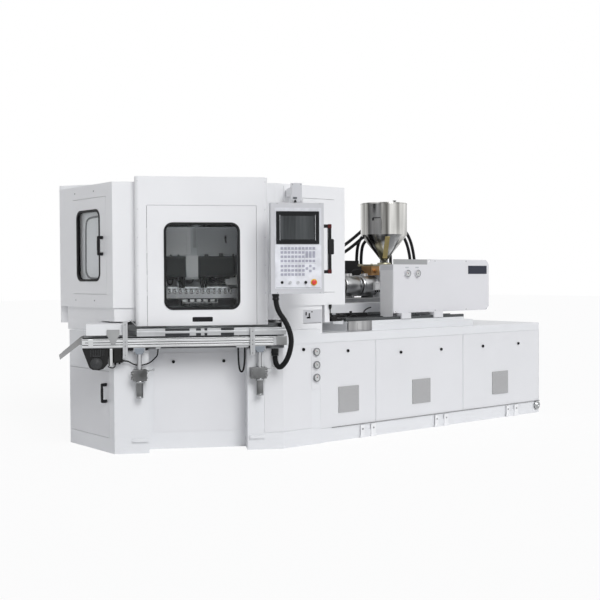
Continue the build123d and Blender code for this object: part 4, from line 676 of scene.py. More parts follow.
def station_plate(outline, reach, thickness):
    """Flat plate cut to an outline of (place, height) in millimetres, from a reach inwards by its thickness."""
    mesh = bmesh.new()
    corners = [mesh.verts.new((place / 1000, -reach / 1000, height / 1000)) for place, height in outline]
    face = mesh.faces.new(corners)
    pulled = bmesh.ops.extrude_face_region(mesh, geom=[face])["geom"]
    moved = [item for item in pulled if isinstance(item, bmesh.types.BMVert)]
    bmesh.ops.translate(mesh, vec=(0, thickness / 1000, 0), verts=moved)
    bmesh.ops.recalc_face_normals(mesh, faces=mesh.faces)
    return mesh


plate_grey = painted("plate_grey", (0.33, 0.33, 0.33), 0.5, 0.7)
plate_dark = painted("plate_dark", (0.19, 0.195, 0.20), 0.5, 0.7)
cylinder_black = painted("cylinder_black", (0.022, 0.024, 0.024), 0.45, 0.8)
bracket_pale = painted("bracket_pale", (0.33, 0.33, 0.33), 0.5, 0.8)
terminal_white = moulded("terminal_white", (0.50, 0.50, 0.50), 0.4)
plate_band = (1697, 1940)
left_plate = station_blocks(((-292, -108), (592, 597), plate_band, 1))
station_piece("left_cover_plate", left_plate, plate_grey)
right_plate = station_blocks(((-26, 336), (592, 600), plate_band, 1), ((-60, -30), (592, 596), (1760, 1940), 1))
station_piece("right_cover_plate", right_plate, plate_dark)
covers = bmesh.new()
for start, end in ((-312, -128), (-17, 312)):
    along_station(covers, (start, end), (518, 612), (1498, 1688), 5)
    along_station(covers, (start + 12, end - 12), (612, 618), (1516, 1672), 3)
station_piece("cylinder_covers", covers, cylinder_black)
pale = station_plate(((-122, 1692), (-12, 1692), (-6, 1640), (4, 1600), (2, 1520), (-34, 1506), (-112, 1496),
                      (-118, 1560), (-126, 1600)), 604, 12)
along_station(pale, (-118, -84), (598, 603), (1700, 1936), 1)
station_piece("middle_bracket", pale, bracket_pale)
terminal = station_blocks(((221, 334), (500, 545), (1430, 1513), 3),
                          *(((place, place + 7), (545, 551), (1436, 1507), 1.5) for place in range(228, 332, 13)))
station_piece("valve_terminal", terminal, terminal_white)
fittings = bmesh.new()
for place, reach, height in ((-256, 603, 1690), (-190, 603, 1690), (48, 607, 1693), (66, 607, 1693),
                             (176, 607, 1700), (196, 607, 1700), (294, 607, 1693)):
    station_post(fittings, place, reach, height - 14, height + 12, 8)
    station_post(fittings, place, reach, height - 22, height - 14, 5.5)
along_station(fittings, (218, 234), (600, 622), (1838, 1868), 3)
station_stud(fittings, 226, 1820, 600, 618, 6)
for place in (-292, -270, -240, -208):
    station_post(fittings, place, 560, 1480, 1500, 9)
along_station(fittings, (-300, -196), (530, 590), (1484, 1500), 3)
for place in (-60, 30, 90):
    station_post(fittings, place, 560, 1478, 1500, 8)
along_station(fittings, (150, 262), (560, 590), (1484, 1497), 3)
station_piece("air_fittings", fittings, black_plastic)


def rigid_line(name, points, diameter, finish, body):
    """Short pipe or clipped line along its control points."""
    data = route_curve(name, points)
    data.bevel_depth = diameter / 2
    data.bevel_resolution = 3
    data.resolution_u = 6
    shaped = bpy.data.objects.new(name + "_line", data)
    mesh = bpy.data.meshes.new_from_object(shaped)
    bpy.data.objects.remove(shaped)
    mesh.name = name
    mesh.materials.clear()
    mesh.materials.append(finish)
    piece = bpy.data.objects.new(name, mesh)
    bpy.context.scene.collection.objects.link(piece)
    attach(piece, body)


for number, spots in enumerate((
    ((-60, 560, 1480), (-62, 560, 1452), (-120, 560, 1440), (-190, 560, 1446), (-206, 560, 1482)),
    ((30, 580, 1500), (60, 584, 1506), (120, 586, 1494), (180, 580, 1462), (226, 555, 1450)),
    ((90, 560, 1480), (96, 560, 1455), (150, 560, 1446), (205, 556, 1436), (232, 548, 1434)),
    ((-240, 560, 1482), (-244, 560, 1440), (-272, 560, 1432), (-290, 560, 1450), (-292, 560, 1482)),
    ((226, 612, 1838), (226, 616, 1826), (230, 612, 1812), (230, 606, 1806)),
), 1):
    air_route = [at_front(*spot) for spot in spots]
    rigid_line(f"air_line_{number}", air_route, 0.011, cable_skin, "machine")
noses = bmesh.new()
for place, radius in ((-150, 17), (-178, 9), (22, 17), (52, 10)):
    station_post(noses, place, 560, 1404, 1500, radius)
    station_post(noses, place, 560, 1440, 1462, radius + 4)
station_piece("cylinder_noses", noses, cylinder_black)

# Stripper comb. The milled aluminium comb strips the bottles; dark plates between its slots and along its foot are
# painted shade, bright guide teeth are screwed on them, and white stops and a rail below catch the bottles.
stripper_face = 572
tooth_pitch = 50
comb_places = [tooth_pitch * (count - 6) + tooth_pitch // 2 for count in range(12)]
shade_plate_depth = (stripper_face, stripper_face + 1.0)
tooth_depth = (stripper_face + 0.8, stripper_face + 3.0)
rail_depth = (stripper_face - 4, stripper_face + 3)
# The dark plates between the slots and along the foot are painted shade.
comb_shade_plates = station_blocks(*(((place - 10, place + 10), shade_plate_depth, (1352, 1398), 0.4) for place in comb_places),
                       ((-300, 300), shade_plate_depth, (1303, 1312), 0.4))
station_piece("comb_painted_shade", comb_shade_plates, cylinder_black, "stripper")
teeth = bmesh.new()
for place in comb_places:
    along_station(teeth, (place - 7, place + 8), tooth_depth, (1380, 1391), 1)
    along_station(teeth, (place - 10, place + 2), tooth_depth, (1368, 1380), 1)
    along_station(teeth, (place - 7, place + 8), tooth_depth, (1357, 1368), 1)
station_piece("comb_teeth", teeth, bracket_pale, "stripper")
stops = station_blocks(*(((place - 20, place + 20), (stripper_face + 0.5, stripper_face + 8), (1282, 1303), 3)
                         for place in (-132, -72, -12, 48, 108)))
station_piece("bottle_stops", stops, terminal_white, "stripper")
stop_rail = station_blocks(((-162, 158), rail_depth, (1268, 1276), 1), ((150, 158), rail_depth, (1268, 1306), 1),
                           ((-162, -154), rail_depth, (1268, 1306), 1))
station_piece("stop_rail", stop_rail, bracket_pale, "stripper")

# Work lamp. A sealed white light strip is screwed across the top of the hood above the window and lights
# the station; its diffuser is opal plastic, a little uneven along its length.
lamp_glow = material("lamp_glow", (0.9, 0.9, 0.9), 0.5)
tree = lamp_glow.node_tree
shader = tree.nodes["Principled BSDF"]
tree.links.new(ramp(tree, noise(tree, 3.0), (0.92, 0.95, 1.0), (1.0, 1.0, 1.0)), shader.inputs["Emission Color"])
shader.inputs["Emission Strength"].default_value = 7.0
work_lamp = station_blocks(((-360, 360), (700, 750), (2228, 2240), 4, 3))
station_piece("work_lamp", work_lamp, lamp_glow, "machine")

# Inner guard. A pale folded sheet with a rounded seam stands just behind the left door's window and keeps
# hands away from the blow station; its pale colour is painted light for the bright light seen through the rear
# window.
inner_sheet = blocks(((-1.0185, -0.060, 1.42), (-1.0165, 0.470, 2.130), 0.0008))
finish_piece("inner_guard", inner_sheet, painted("inner_painted_light", (0.74, 0.74, 0.76), 0.5, 0.9))
seam_spots = [Vector((-1.0200, y / 1000, z / 1000)) for y, z in (
    (-40, 2041), (100, 2041), (200, 2030), (240, 1985), (243, 1800), (246, 1600), (240, 1540), (190, 1500),
    (90, 1494), (-40, 1492))]
rigid_line("inner_guard_seam", seam_spots, 0.018, platen_grey, "machine")

# Front door fittings. The lift-up door, like the rear one, hangs on a painted piano hinge under the hood's
# head and is pulled by a black moulded cup let into its lower edge; dome screws hold the side strips.
pull = station_blocks(((-88, 88), (896, 914), (1116, 1158), 8.5, 5),
                      ((-80, 80), (909, 917.5), (1150, 1158.5), 3.5, 3))
station_piece("door_pull", pull, black_plastic, "front_door")
hinge_half, hinge_height, knuckle_pitch, knuckle_width = 465, 2.1165, 62, 3
for name, station_turn, reach in (("front_hinge", front_turn, 915), ("rear_hinge", math.radians(-150), 1150)):
    hinge = bmesh.new()
    y = -(reach + 1.0) / 1000
    bar(hinge, (-0.466, y, hinge_height), (0.466, y, hinge_height), 0.0042, sides=16)
    for place in range(-hinge_half, hinge_half + 1, knuckle_pitch):
        start, end = place / 1000, (place + knuckle_width) / 1000
        bar(hinge, (start, y, hinge_height), (end, y, hinge_height), 0.0052, sides=16)
    bmesh.ops.rotate(hinge, matrix=Matrix.Rotation(station_turn, 3, "Z"), verts=hinge.verts)
    finish_piece(name, hinge, guard_white)
hood_screws = bmesh.new()
for place in (-545, 545):
    for height in (1120, 1360, 1600, 1840, 2080, 2320):
        station_stud(hood_screws, place, height, 915, 917, 5.5, 16)
station_piece("hood_screws", hood_screws, guard_white, "machine")

# Handles of the cabinet door and the side door. Each is a black bar handle of round-edged plastic, bent back
# to its feet, with a screw cover in the middle; four dome bolts hold the frame round the side door.
for name, cad_handle, body, x, y, low, high in (
    ("cabinet_handle", "base_door_handle", "base_door", -1.110, -0.284, 0.428, 0.596),
    ("side_door_handle", "left_handle", "left_door", -1.070, -0.166, 1.693, 1.861),
):
    middle = (low + high) / 2
    grip = blocks(
        ((x - 0.0552, y - 0.0092, low + 0.002), (x - 0.0368, y + 0.0092, high - 0.002), 0.0055, 4),
        *(((x - 0.0500, y - 0.0092, start), (x - 0.0002, y + 0.0092, start + 0.0285), 0.006, 4)
          for start in (low - 0.001, high - 0.0275)),
        ((x - 0.0565, y - 0.0105, middle - 0.045), (x - 0.0355, y + 0.0105, middle + 0.045), 0.007, 4),
    )
    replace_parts(finish_piece(name, grip, black_plastic, body), cad_handle)
wing_bolts = bmesh.new()
wing_face, bolt_height = -1.0705, 0.003
for y, z in ((-0.001, 2.262), (0.360, 2.262), (-0.001, 1.300), (0.360, 1.300)):
    bar(wing_bolts, (wing_face, y, z), (wing_face - bolt_height, y, z), 0.0075, 0.0055, 16)
finish_piece("wing_bolts", wing_bolts, dial_steel)


# Conveyor. The front beam is a slotted aluminium extrusion with bright lips and grooves dark with painted shade;
# cast bearing blocks close its ends, and the guide rail above it runs on short pins.
def conveyor_piece(name, mesh, finish):
    """Station piece that goes up and down with the conveyor."""
    station_piece(name, mesh, finish, "conveyor")


beam_dark_and_shade = machined("beam_dark_and_shade", (0.05, 0.052, 0.055), 0.5)
beam_bright = machined("beam_bright", (0.66, 0.67, 0.68), 0.3, (1.0, 1.0, 40.0), 0.04)
cast_aluminium = machined("cast_aluminium", (0.34, 0.345, 0.35), 0.45, (1.0, 1.0, 1.0), 0.3)
beam_face = 994.5
beam_length = (-1009, 639)
lip_length = (-1009.5, 639.5)
edge_band = (992.6, 996.5)
# The dark plate behind the lips is painted shade in the beam's grooves.
conveyor_piece("beam_groove_shade", station_blocks((beam_length, (beam_face, 995.6), (909, 992.5), 0.4)), beam_dark_and_shade)
lip_bands = ((957, 976), (937, 951), (912, 931))
lips = station_blocks(*((lip_length, (beam_face, 998.2), band, 1.2) for band in lip_bands),
                      (lip_length, (990.0, 999.0), (981, 986), 1.0))
conveyor_piece("beam_lips", lips, beam_bright)
# The dark strips along the belt's edges are partly the belt's own dark edge and partly painted shadow.
belt_edges_and_shadow = station_blocks((beam_length, (950, 997.5), edge_band, 0.8), (beam_length, (640, 672), edge_band, 0.8))
conveyor_piece("belt_edges_and_shadow", belt_edges_and_shadow, beam_dark_and_shade)
guide_back = 983.2
guide_parts = station_blocks(
    ((-560, 715), (guide_back, 988.5), (1024, 1044), 2.0),
    ((-559, -322), (guide_back, 987.0), (1001, 1065), 1.0),
    ((262, 714), (guide_back, 987.0), (1001, 1065), 1.0),
    *((places, (guide_back, 986.6), (1003, 1063), 1.0) for places in ((-116, -62), (-20, 10), (34, 150))),
)
conveyor_piece("guide_facing", guide_parts, extruded_aluminium)
conveyor_piece("guide_shadow", station_blocks(((-559, 714), (982.6, 983.6), (1000.5, 1065.4), 0.3)), beam_dark_and_shade)
ends = station_blocks(((-961, -921), (beam_face, 1000.5), (916, 985), 3))
station_stud(ends, -1000, 954, 995, 1004, 13)
for height in (930, 975):
    station_stud(ends, -941, height, 1000, 1004, 7)
along_station(ends, (-785, -761), (996, 1003), (754, 904), 3)
for height in (772, 892):
    station_stud(ends, -773, height, 1003, 1007, 7)
conveyor_piece("drive_end_plates", ends, beam_bright)
casting_face = 1008
casting = station_blocks(((626, 719), (beam_face, casting_face), (912, 992), 6, 3))
for place, height in ((644, 930), (702, 930), (644, 974), (702, 974)):
    station_stud(casting, place, height, casting_face, 1011, 6)
station_stud(casting, 673, 952, casting_face, 1013, 21, 6)
station_stud(casting, 673, 952, 1013, 1016, 10)
conveyor_piece("idler_casting", casting, cast_aluminium)
bracket = station_plate(((-808, 1062), (-702, 1062), (-702, 1020), (-722, 985), (-742, 930), (-770, 930),
                         (-790, 985), (-808, 1020)), 1000.5, -4)
station_stud(bracket, -756, 945, 1004, 1012, 9, 6)
station_stud(bracket, -756, 945, 1012, 1016, 5)
conveyor_piece("sensor_bracket", bracket, cast_aluminium)
post_bolts = bmesh.new()
post_face, bolt_top, stud_top = 1028, 1037.5, 1040
for place, heights in ((-655, (850, 925, 960, 1105)), (417, (850, 925, 960, 1035))):
    for height in heights:
        station_stud(post_bolts, place, height, post_face, bolt_top, 6.5, 6)
        station_stud(post_bolts, place, height, bolt_top, stud_top, 4)
station_bar(post_bolts, (-655, 1015, 1120), (-600, 990, 1140), 6)
station_bar(post_bolts, (-610, 994, 1138), (-560, 975, 1090), 5)
conveyor_piece("post_bolts", post_bolts, turned_steel)
rod_places = (-539, 484)
rod_brackets = bmesh.new()
for middle in rod_places:
    along_station(rod_brackets, (middle - 44, middle + 44), (948, 997), (868, 907), 4)
    along_station(rod_brackets, (middle - 30, middle + 30), (955, 999), (852, 872), 4)
conveyor_piece("rod_brackets", rod_brackets, painted("bracket_blue", (0.26, 0.29, 0.33), 0.45, 0.75))

# Conveyor drive. A cast black worm gearbox with ribs and a round cover hangs under the beam beside its
# terminal box, whose two cable glands point down.
drive_place, drive_height, bolt_circle = -896, 781, 45
gearbox = bmesh.new()
station_stud(gearbox, drive_place, drive_height, 1003, 1008, 50, 32)
turned(gearbox, ((0.0, 0.0), (0.040, 0.0), (0.040, 0.008), (0.030, 0.012), (0.016, 0.012), (0.014, 0.016),
                 (0.0, 0.017)), (drive_place / 1000, -1.005, drive_height / 1000), (0, -1, 0), 32)
for count in range(8):
    angle = math.radians(45 * count + 22)
    place, height = drive_place + bolt_circle * math.cos(angle), drive_height + bolt_circle * math.sin(angle)
    station_stud(gearbox, place, height, 1002, 1010, 4.5, 6)
for place in range(-948, -832, 14):
    along_station(gearbox, (place, place + 6), (962, 997.5), (838 if place < -930 else 846, 893), 2)
along_station(gearbox, (-925, -860), (990, 999), (836, 846), 2)
gear_grey = painted("gear_grey", (0.055, 0.056, 0.058), 0.35, 0.6)
station_piece("gearbox_cover", gearbox, gear_grey, "conveyor")
lid_face = 1009
terminal_box = station_blocks(((-755, -683), (930, 1003), (786, 902), 7, 3),
                              ((-749, -689), (1003, lid_face), (794, 894), 3, 3))
for place in (-742, -696):
    for height in (801, 887):
        station_stud(terminal_box, place, height, lid_face, 1011.5, 4, 6)
station_stud(terminal_box, -719, 838, lid_face, 1013, 13)
station_post(terminal_box, -740, 960, 788, 766, 10, 6)
station_post(terminal_box, -706, 960, 788, 770, 10, 6)
station_bar(terminal_box, (-682, 945, 795), (-672, 945, 795), 9, 6)
station_piece("motor_terminal_box", terminal_box, motor_black, "conveyor")
feed = [at_front(*spot) for spot in ((-740, 960, 768), (-742, 960, 745), (-770, 965, 735), (-800, 968, 752))]
rigid_line("motor_feed", feed, 0.010, cable_skin, "conveyor")

# Height clamps. Cast split blocks grip the support rods with cross bolts and a clamping lever, and carry
# turned steel sleeves with a collar at the foot.
clamp_cast = machined("clamp_cast", (0.34, 0.345, 0.35), 0.36, (1.0, 1.0, 1.0), 0.8, 0.2)
sleeve_bore, collar_step = 0.0262, 0.001
for number, middle in enumerate(rod_places, 1):
    cast = station_blocks(
        ((middle - 62, middle - 30), (940, 1002), (632, 714), 10, 3),
        ((middle + 28, middle + 62), (940, 1002), (640, 722), 10, 3),
        *(((middle - 58, middle + 58), (936, 1009), band, 5, 3) for band in ((626, 642), (664, 684), (704, 722))),
    )
    for height in (653, 694):
        station_bar(cast, (middle - 66, 1000, height), (middle + 66, 1000, height), 8, 12)
        station_bar(cast, (middle - 72, 1000, height), (middle - 62, 1000, height), 12, 6)
    for count in range(6):
        angle = math.radians(60 * count)
        place, reach = middle + 38 * math.cos(angle), 975 + 30 * math.sin(angle)
        station_post(cast, place, reach, 716, 726, 6, 6)
    station_piece(f"clamp_block_{number}", cast, clamp_cast, "machine")
    lever = bmesh.new()
    station_bar(lever, (middle + 60, 1000, 700), (middle + 72, 1006, 712), 9)
    station_bar(lever, (middle + 66, 1003, 708), (middle + 112, 1010, 720), 5)
    station_bar(lever, (middle + 108, 1009, 719), (middle + 126, 1012, 724), 8)
    station_piece(f"clamp_lever_{number}", lever, dial_steel, "machine")
    sleeve = bmesh.new()
    for low, high, radius in ((0.480, 0.494, 0.0305), (0.498, 0.501, 0.0300), (0.608, 0.626, 0.0345)):
        turned(sleeve, ((sleeve_bore, low), (radius - collar_step, low), (radius, low + collar_step),
                        (radius, high - collar_step), (radius - collar_step, high), (sleeve_bore, high),
                        (sleeve_bore, low)), (middle / 1000, -0.975, 0), (0, 0, 1), 32)
    station_piece(f"sleeve_collars_{number}", sleeve, turned_steel, "machine")
dress(machined("clamp_dark", (0.27, 0.275, 0.28), 0.34, (1.0, 1.0, 1.0), 0.5, 0.25), "conveyor_supports")

# Conveyor cover. The box over the drive end is white sheet, and the discharge chute below it is bare
# sheet worn dull grey; both are folded and screwed to the beam.
chute_start = -1.012
cover_mix = painted("cover_sheet", (0.74, 0.75, 0.765), 0.4)
tree = cover_mix.node_tree
shader = tree.nodes["Principled BSDF"]
spot = tree.nodes.new("ShaderNodeTexCoord")
along = tree.nodes.new("ShaderNodeVectorMath")
along.operation = "DOT_PRODUCT"
along.inputs[1].default_value = front_right
chute_share = tree.nodes.new("ShaderNodeMath")
chute_share.operation = "LESS_THAN"
chute_share.inputs[1].default_value = chute_start
tree.links.new(spot.outputs["Object"], along.inputs[0])
tree.links.new(along.outputs["Value"], chute_share.inputs[0])
sheet_mix = tree.nodes.new("ShaderNodeMix")
sheet_mix.data_type = "RGBA"
paint_link = shader.inputs["Base Color"].links[0].from_socket
tree.links.new(chute_share.outputs[0], sheet_mix.inputs["Factor"])
tree.links.new(paint_link, sheet_mix.inputs[6])
tree.links.new(ramp(tree, noise(tree, 8.0, 4.0), (0.20, 0.20, 0.20), (0.31, 0.31, 0.31)), sheet_mix.inputs[7])
tree.links.new(sheet_mix.outputs[2], shader.inputs["Base Color"])
dress(cover_mix, "conveyor_cover")


# Barrel and heaters. A steel heat cover in four lengths with band clamps hides the heater bands, white
# ceramic terminal blocks stand along its top, and a junction box and trays for the leads sit beside it.
def carriage_piece(name, mesh, finish):
    """Piece that slides with the injection carriage."""
    return finish_piece(name, mesh, finish, "carriage")


cover_steel = machined("cover_steel", (0.42, 0.425, 0.43), 0.3, (40.0, 1.0, 1.0), 0.06, 0.5)
barrel_height = 1.4
cover_bore, cover_rim, cover_radius = 0.080, 0.106, 0.110
heat_cover = bmesh.new()
for start, end in ((1.335, 1.555), (1.575, 1.800), (1.820, 2.050), (2.070, 2.285)):
    turned(heat_cover, ((cover_bore, start), (cover_rim, start), (cover_radius, start + 0.004),
                        (cover_radius, end - 0.004), (cover_rim, end), (cover_bore, end), (cover_bore, start)),
           (0, 0, barrel_height), (1, 0, 0), 48)
carriage_piece("barrel_cover", heat_cover, cover_steel)
band_inside, band_outside, band_width = 0.1095, 0.1125, 0.012
clamps = bmesh.new()
for start in (1.350, 1.530, 1.590, 1.775, 1.835, 2.025, 2.085, 2.262):
    turned(clamps, ((band_inside, start), (band_outside, start), (band_outside, start + band_width),
                    (band_inside, start + band_width), (band_inside, start)), (0, 0, barrel_height), (1, 0, 0), 48)
    brick(clamps, (start - 0.002, -0.1235, 1.392), (start + 0.014, -0.1095, 1.408), 0.002)
    bar(clamps, (start + 0.006, -0.117, 1.380), (start + 0.006, -0.117, 1.420), 0.003, sides=10)
carriage_piece("cover_clamps", clamps, ground_steel)
dress(machined("barrel_steel", (0.30, 0.29, 0.27), 0.35), "barrel")
terminals = bmesh.new()
for start in (1.38, 1.43, 1.62, 1.67, 1.87, 1.92, 2.12, 2.17, 2.22):
    brick(terminals, (start, -0.040, 1.503), (start + 0.030, -0.008, 1.532), 0.003)
    brick(terminals, (start + 0.004, 0.004, 1.507), (start + 0.026, 0.030, 1.526), 0.003)
carriage_piece("heater_terminals", terminals, terminal_white)
tray_foot = 1.2252
trays = blocks(((1.34, -0.150, tray_foot), (2.28, -0.096, 1.272), 0.004),
               ((1.34, 0.096, tray_foot), (2.28, 0.150, 1.272), 0.004),
               *(((x, -0.094, tray_foot), (x + 0.03, 0.094, 1.296), 0.003) for x in (1.42, 1.90, 2.20)))
carriage_piece("barrel_trays", trays, cover_steel)
junction = blocks(((2.185, -0.150, 1.352), (2.283, -0.111, 1.442), 0.004),
                  ((2.190, -0.1545, 1.357), (2.278, -0.150, 1.437), 0.002))
carriage_piece("junction_box", junction, terminal_white)
glands = bmesh.new()
for x in (2.205, 2.235, 2.265):
    bar(glands, (x, -0.132, 1.330), (x, -0.132, 1.352), 0.008, sides=12)
    bar(glands, (x, -0.1545, 1.425), (x, -0.157, 1.425), 0.003, sides=10)
carriage_piece("junction_glands", glands, black_plastic)

# Feed throat. A bronze bracket holds the throat over the barrel, and the hopper stands on a yellow-plated
# steel slide plate on four posts, with a knobbed rod to pull it; clipped black leads arch over the heaters.
bronze = machined("bronze", (0.50, 0.30, 0.14), 0.35, (1.0, 1.0, 20.0), 0.1, 0.7)
yellow_steel = machined("yellow_steel", (0.46, 0.44, 0.33), 0.3, (1.0, 1.0, 30.0), 0.08, 0.7)
feed_bracket = blocks(((2.176, -0.098, 1.512), (2.300, -0.092, 1.612), 0.002),
                      ((2.176, -0.098, 1.512), (2.182, 0.060, 1.612), 0.002))
bar(feed_bracket, (2.236, -0.098, 1.560), (2.236, -0.120, 1.560), 0.022, sides=20)
bar(feed_bracket, (2.236, -0.120, 1.560), (2.236, -0.128, 1.560), 0.013, sides=6)
bar(feed_bracket, (2.200, -0.030, 1.560), (2.328, -0.030, 1.560), 0.018, sides=20)
carriage_piece("feed_bracket", feed_bracket, bronze)
hopper_place = 2.46
slide_foot, slide_top = 1.612, 1.632
neck_bore = 0.0352
slide_plate = blocks(((2.190, -0.112, slide_foot), (2.600, 0.112, slide_top), 0.004))
turned(slide_plate, ((neck_bore, 0.0), (0.074, 0.0), (0.074, 0.016), (0.050, 0.022), (neck_bore, 0.022),
                     (neck_bore, 0.0)), (hopper_place, 0, slide_top), (0, 0, 1), 40)
for x in (2.36, 2.56):
    for y in (-0.092, 0.092):
        bar(slide_plate, (x, y, 1.5605), (x, y, slide_foot), 0.010, sides=16)
        bar(slide_plate, (x, y, slide_top), (x, y, 1.641), 0.012, sides=6)
bar(slide_plate, (2.150, 0, 1.622), (2.090, 0, 1.622), 0.006, sides=16)
bar(slide_plate, (2.104, 0, 1.622), (2.080, 0, 1.622), 0.015, sides=20)
carriage_piece("hopper_slide", slide_plate, yellow_steel)
for number, spots in enumerate((
    ((1.40, -0.024, 1.53), (1.40, -0.030, 1.58), (1.50, -0.060, 1.60), (1.60, -0.080, 1.57), (1.68, -0.060, 1.53)),
    ((1.66, -0.024, 1.53), (1.68, -0.040, 1.575), (1.78, -0.070, 1.59), (1.86, -0.060, 1.56), (1.90, -0.024, 1.53)),
    ((1.93, -0.024, 1.53), (1.96, -0.050, 1.57), (2.02, -0.070, 1.58), (2.09, -0.060, 1.56), (2.14, -0.024, 1.53)),
), 1):
    rigid_line(f"heater_lead_{number}", [Vector(spot) for spot in spots], 0.010, cable_skin, "carriage")


# Hopper. The bin, cone and neck are spun stainless sheet with a rolled rim, polished; dark and bright bands of
# painted reflection run down it, a sight strip shows the granules, and a small black flap handle is screwed to the
# side.
def reflection_banded(name, colour, dark, roughness):
    """Polished sheet with upright bright and dark bands of painted reflection round a turned body."""
    made = material(name, colour, roughness, 1.0)
    tree = made.node_tree
    bands = noise(tree, 7.0, 2.5, (1.0, 1.0, 0.04))
    shader = tree.nodes["Principled BSDF"]
    tree.links.new(ramp(tree, bands, dark, colour, 0.42, 0.60), shader.inputs["Base Color"])
    tree.links.new(spread(tree, noise(tree, 60.0, 2.0, (1.0, 1.0, 20.0)), roughness - 0.04, roughness + 0.08),
                   shader.inputs["Roughness"])
    return made


# The hopper's bright and dark bands are painted reflection.
hopper_painted_reflections = reflection_banded("hopper_painted_reflections", (0.86, 0.855, 0.83), (0.11, 0.108, 0.10), 0.14)
neck_fold, shoulder_fold = (0.0340, 1.673), (0.2545, 1.9565)
hopper_shape = bmesh.new()
turned(hopper_shape, (
    (0.0335, 1.5605), neck_fold, shoulder_fold, (0.2550, 2.2850), (0.2572, 2.2880), (0.2560, 2.2915),
    (0.2525, 2.2915), (0.2515, 2.2850), (0.2512, 1.9580), (0.0310, 1.6745), (0.0300, 1.5605), (0.0335, 1.5605),
), (hopper_place, 0, 0), (0, 0, 1), 96)
for radius, height in (shoulder_fold, neck_fold):
    for edge in hopper_shape.edges:
        if all(abs(vertex.co.z - height) < 0.0004 and
               abs(Vector((vertex.co.x - hopper_place, vertex.co.y)).length - radius) < 0.002
               for vertex in edge.verts):
            edge.smooth = False
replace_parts(carriage_piece("hopper_bin", hopper_shape, hopper_painted_reflections), "hopper")
lid = bmesh.new()
turned(lid, ((0.0, 2.2925), (0.2540, 2.2925), (0.2562, 2.2950), (0.2562, 2.3000), (0.2500, 2.3040),
             (0.150, 2.3065), (0.0, 2.3080)), (hopper_place, 0, 0), (0, 0, 1), 96)
brick(lid, (2.40, 0.238, 2.286), (2.52, 0.276, 2.300), 0.003)
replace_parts(finish_piece("hopper_cover", lid, hopper_painted_reflections, "hopper_lid"), "hopper_lid")
cone_spread, cone_rise = 0.2205, 0.2835
cone_slope = math.atan2(cone_spread, cone_rise)
strip_low, strip_high = 1.700, 1.930
strip_half, strip_rise = 0.026, 0.0028
strip_reach = -(0.034 + (strip_low - 1.673) * cone_spread / cone_rise) - 0.001
sight = blocks(((-strip_half, -strip_rise, 0.0),
                (strip_half, strip_rise, (strip_high - strip_low) / math.cos(cone_slope)), 0.0015))
bmesh.ops.rotate(sight, matrix=Matrix.Rotation(cone_slope, 3, "X"), verts=sight.verts)
bmesh.ops.translate(sight, vec=(0, strip_reach, strip_low), verts=sight.verts)
bmesh.ops.rotate(sight, matrix=Matrix.Rotation(math.radians(-34), 3, "Z"), verts=sight.verts)
bmesh.ops.translate(sight, vec=(hopper_place, 0, 0), verts=sight.verts)
granules = moulded("granules", (0.42, 0.34, 0.14), 0.3, 180.0)
carriage_piece("sight_strip", sight, granules)
flap = blocks(((-0.045, -0.262, 2.128), (0.045, -0.2540, 2.137), 0.003),
              ((-0.045, -0.266, 2.104), (-0.038, -0.2540, 2.137), 0.002))
bmesh.ops.rotate(flap, matrix=Matrix.Rotation(math.radians(-62), 3, "Z"), verts=flap.verts)
bmesh.ops.translate(flap, vec=(hopper_place, 0, 0), verts=flap.verts)
carriage_piece("hopper_handle", flap, black_plastic)


# Sliding guard. The guard is folded white sheet; a grey strip across its upper left corner is painted shade,
# standing for a notch that shows the far panel in shade. A bare dark plate sits at the right, with small blank
# legend plates over its gauges and dome screws along its edges.
def guard_piece(name, mesh, finish):
    """Piece screwed to the sliding guard."""
    finish_piece(name, mesh, finish, "guard")


guard_face, screw_top = -0.9628, -0.9655
# Grey strip across the upper left corner: painted shade.
corner_shade_strip = blocks(((1.6615, -0.9606, 1.6155), (2.139, -0.9592, 1.6672), 0.0004))
guard_piece("guard_corner_shade", corner_shade_strip, painted("corner_painted_shade", (0.34, 0.345, 0.35), 0.45, 0.9))
name_plate = blocks(((2.752, screw_top, 1.520), (3.046, guard_face, 1.606), 0.001))
guard_piece("bare_name_plate", name_plate, painted("plate_blue_black", (0.035, 0.038, 0.055), 0.35, 0.8))
legends = blocks(*(((x - 0.024, -0.9645, 1.581), (x + 0.024, guard_face, 1.592), 0.0004) for x in (1.85, 1.99)))
guard_piece("gauge_legends", legends, keypad_line)
guard_screws = bmesh.new()
for places, z in (((1.69, 2.25, 2.72, 3.04), 1.152), ((2.25, 2.72), 1.652)):
    for x in places:
        bar(guard_screws, (x, guard_face, z), (x, screw_top, z), 0.006, 0.0045, 16)
guard_piece("guard_screws", guard_screws, dial_steel)

# Linear rails. The guard and the carriage run on hardened rails, dark with oil and ground along their length,
# held down by a row of socket screws.
dress(machined("rail_dark", (0.10, 0.105, 0.11), 0.35, (1.0, 40.0, 40.0)), "linear_rails")
rail_screws = bmesh.new()
screw_pitch, rail_top = 120, 1.106
for x in range(1040, 2700, screw_pitch):
    for y in (-0.985, 0.300):
        bar(rail_screws, (x / 1000, y, rail_top), (x / 1000, y, 1.1072), 0.007, sides=16)
finish_piece("rail_screws", rail_screws, ground_steel, "machine")

# Guard end. A sheet with three pressed ribs is screwed to the guard's end and closes it towards the tower. Its pale
# colour, lighter than the guard's white, is painted light on that end.
end_sheet = blocks(((1.6566, -0.955, 1.100), (1.6588, -0.782, 1.560), 0.0006),
                   *(((1.6556, -0.950, z), (1.6566, -0.787, z_top), 0.0003)
                     for z, z_top in ((1.13, 1.135), (1.32, 1.325), (1.50, 1.505))))
guard_piece("guard_end_sheet", end_sheet, painted("end_painted_light", (0.86, 0.86, 0.865), 0.45, 0.9))

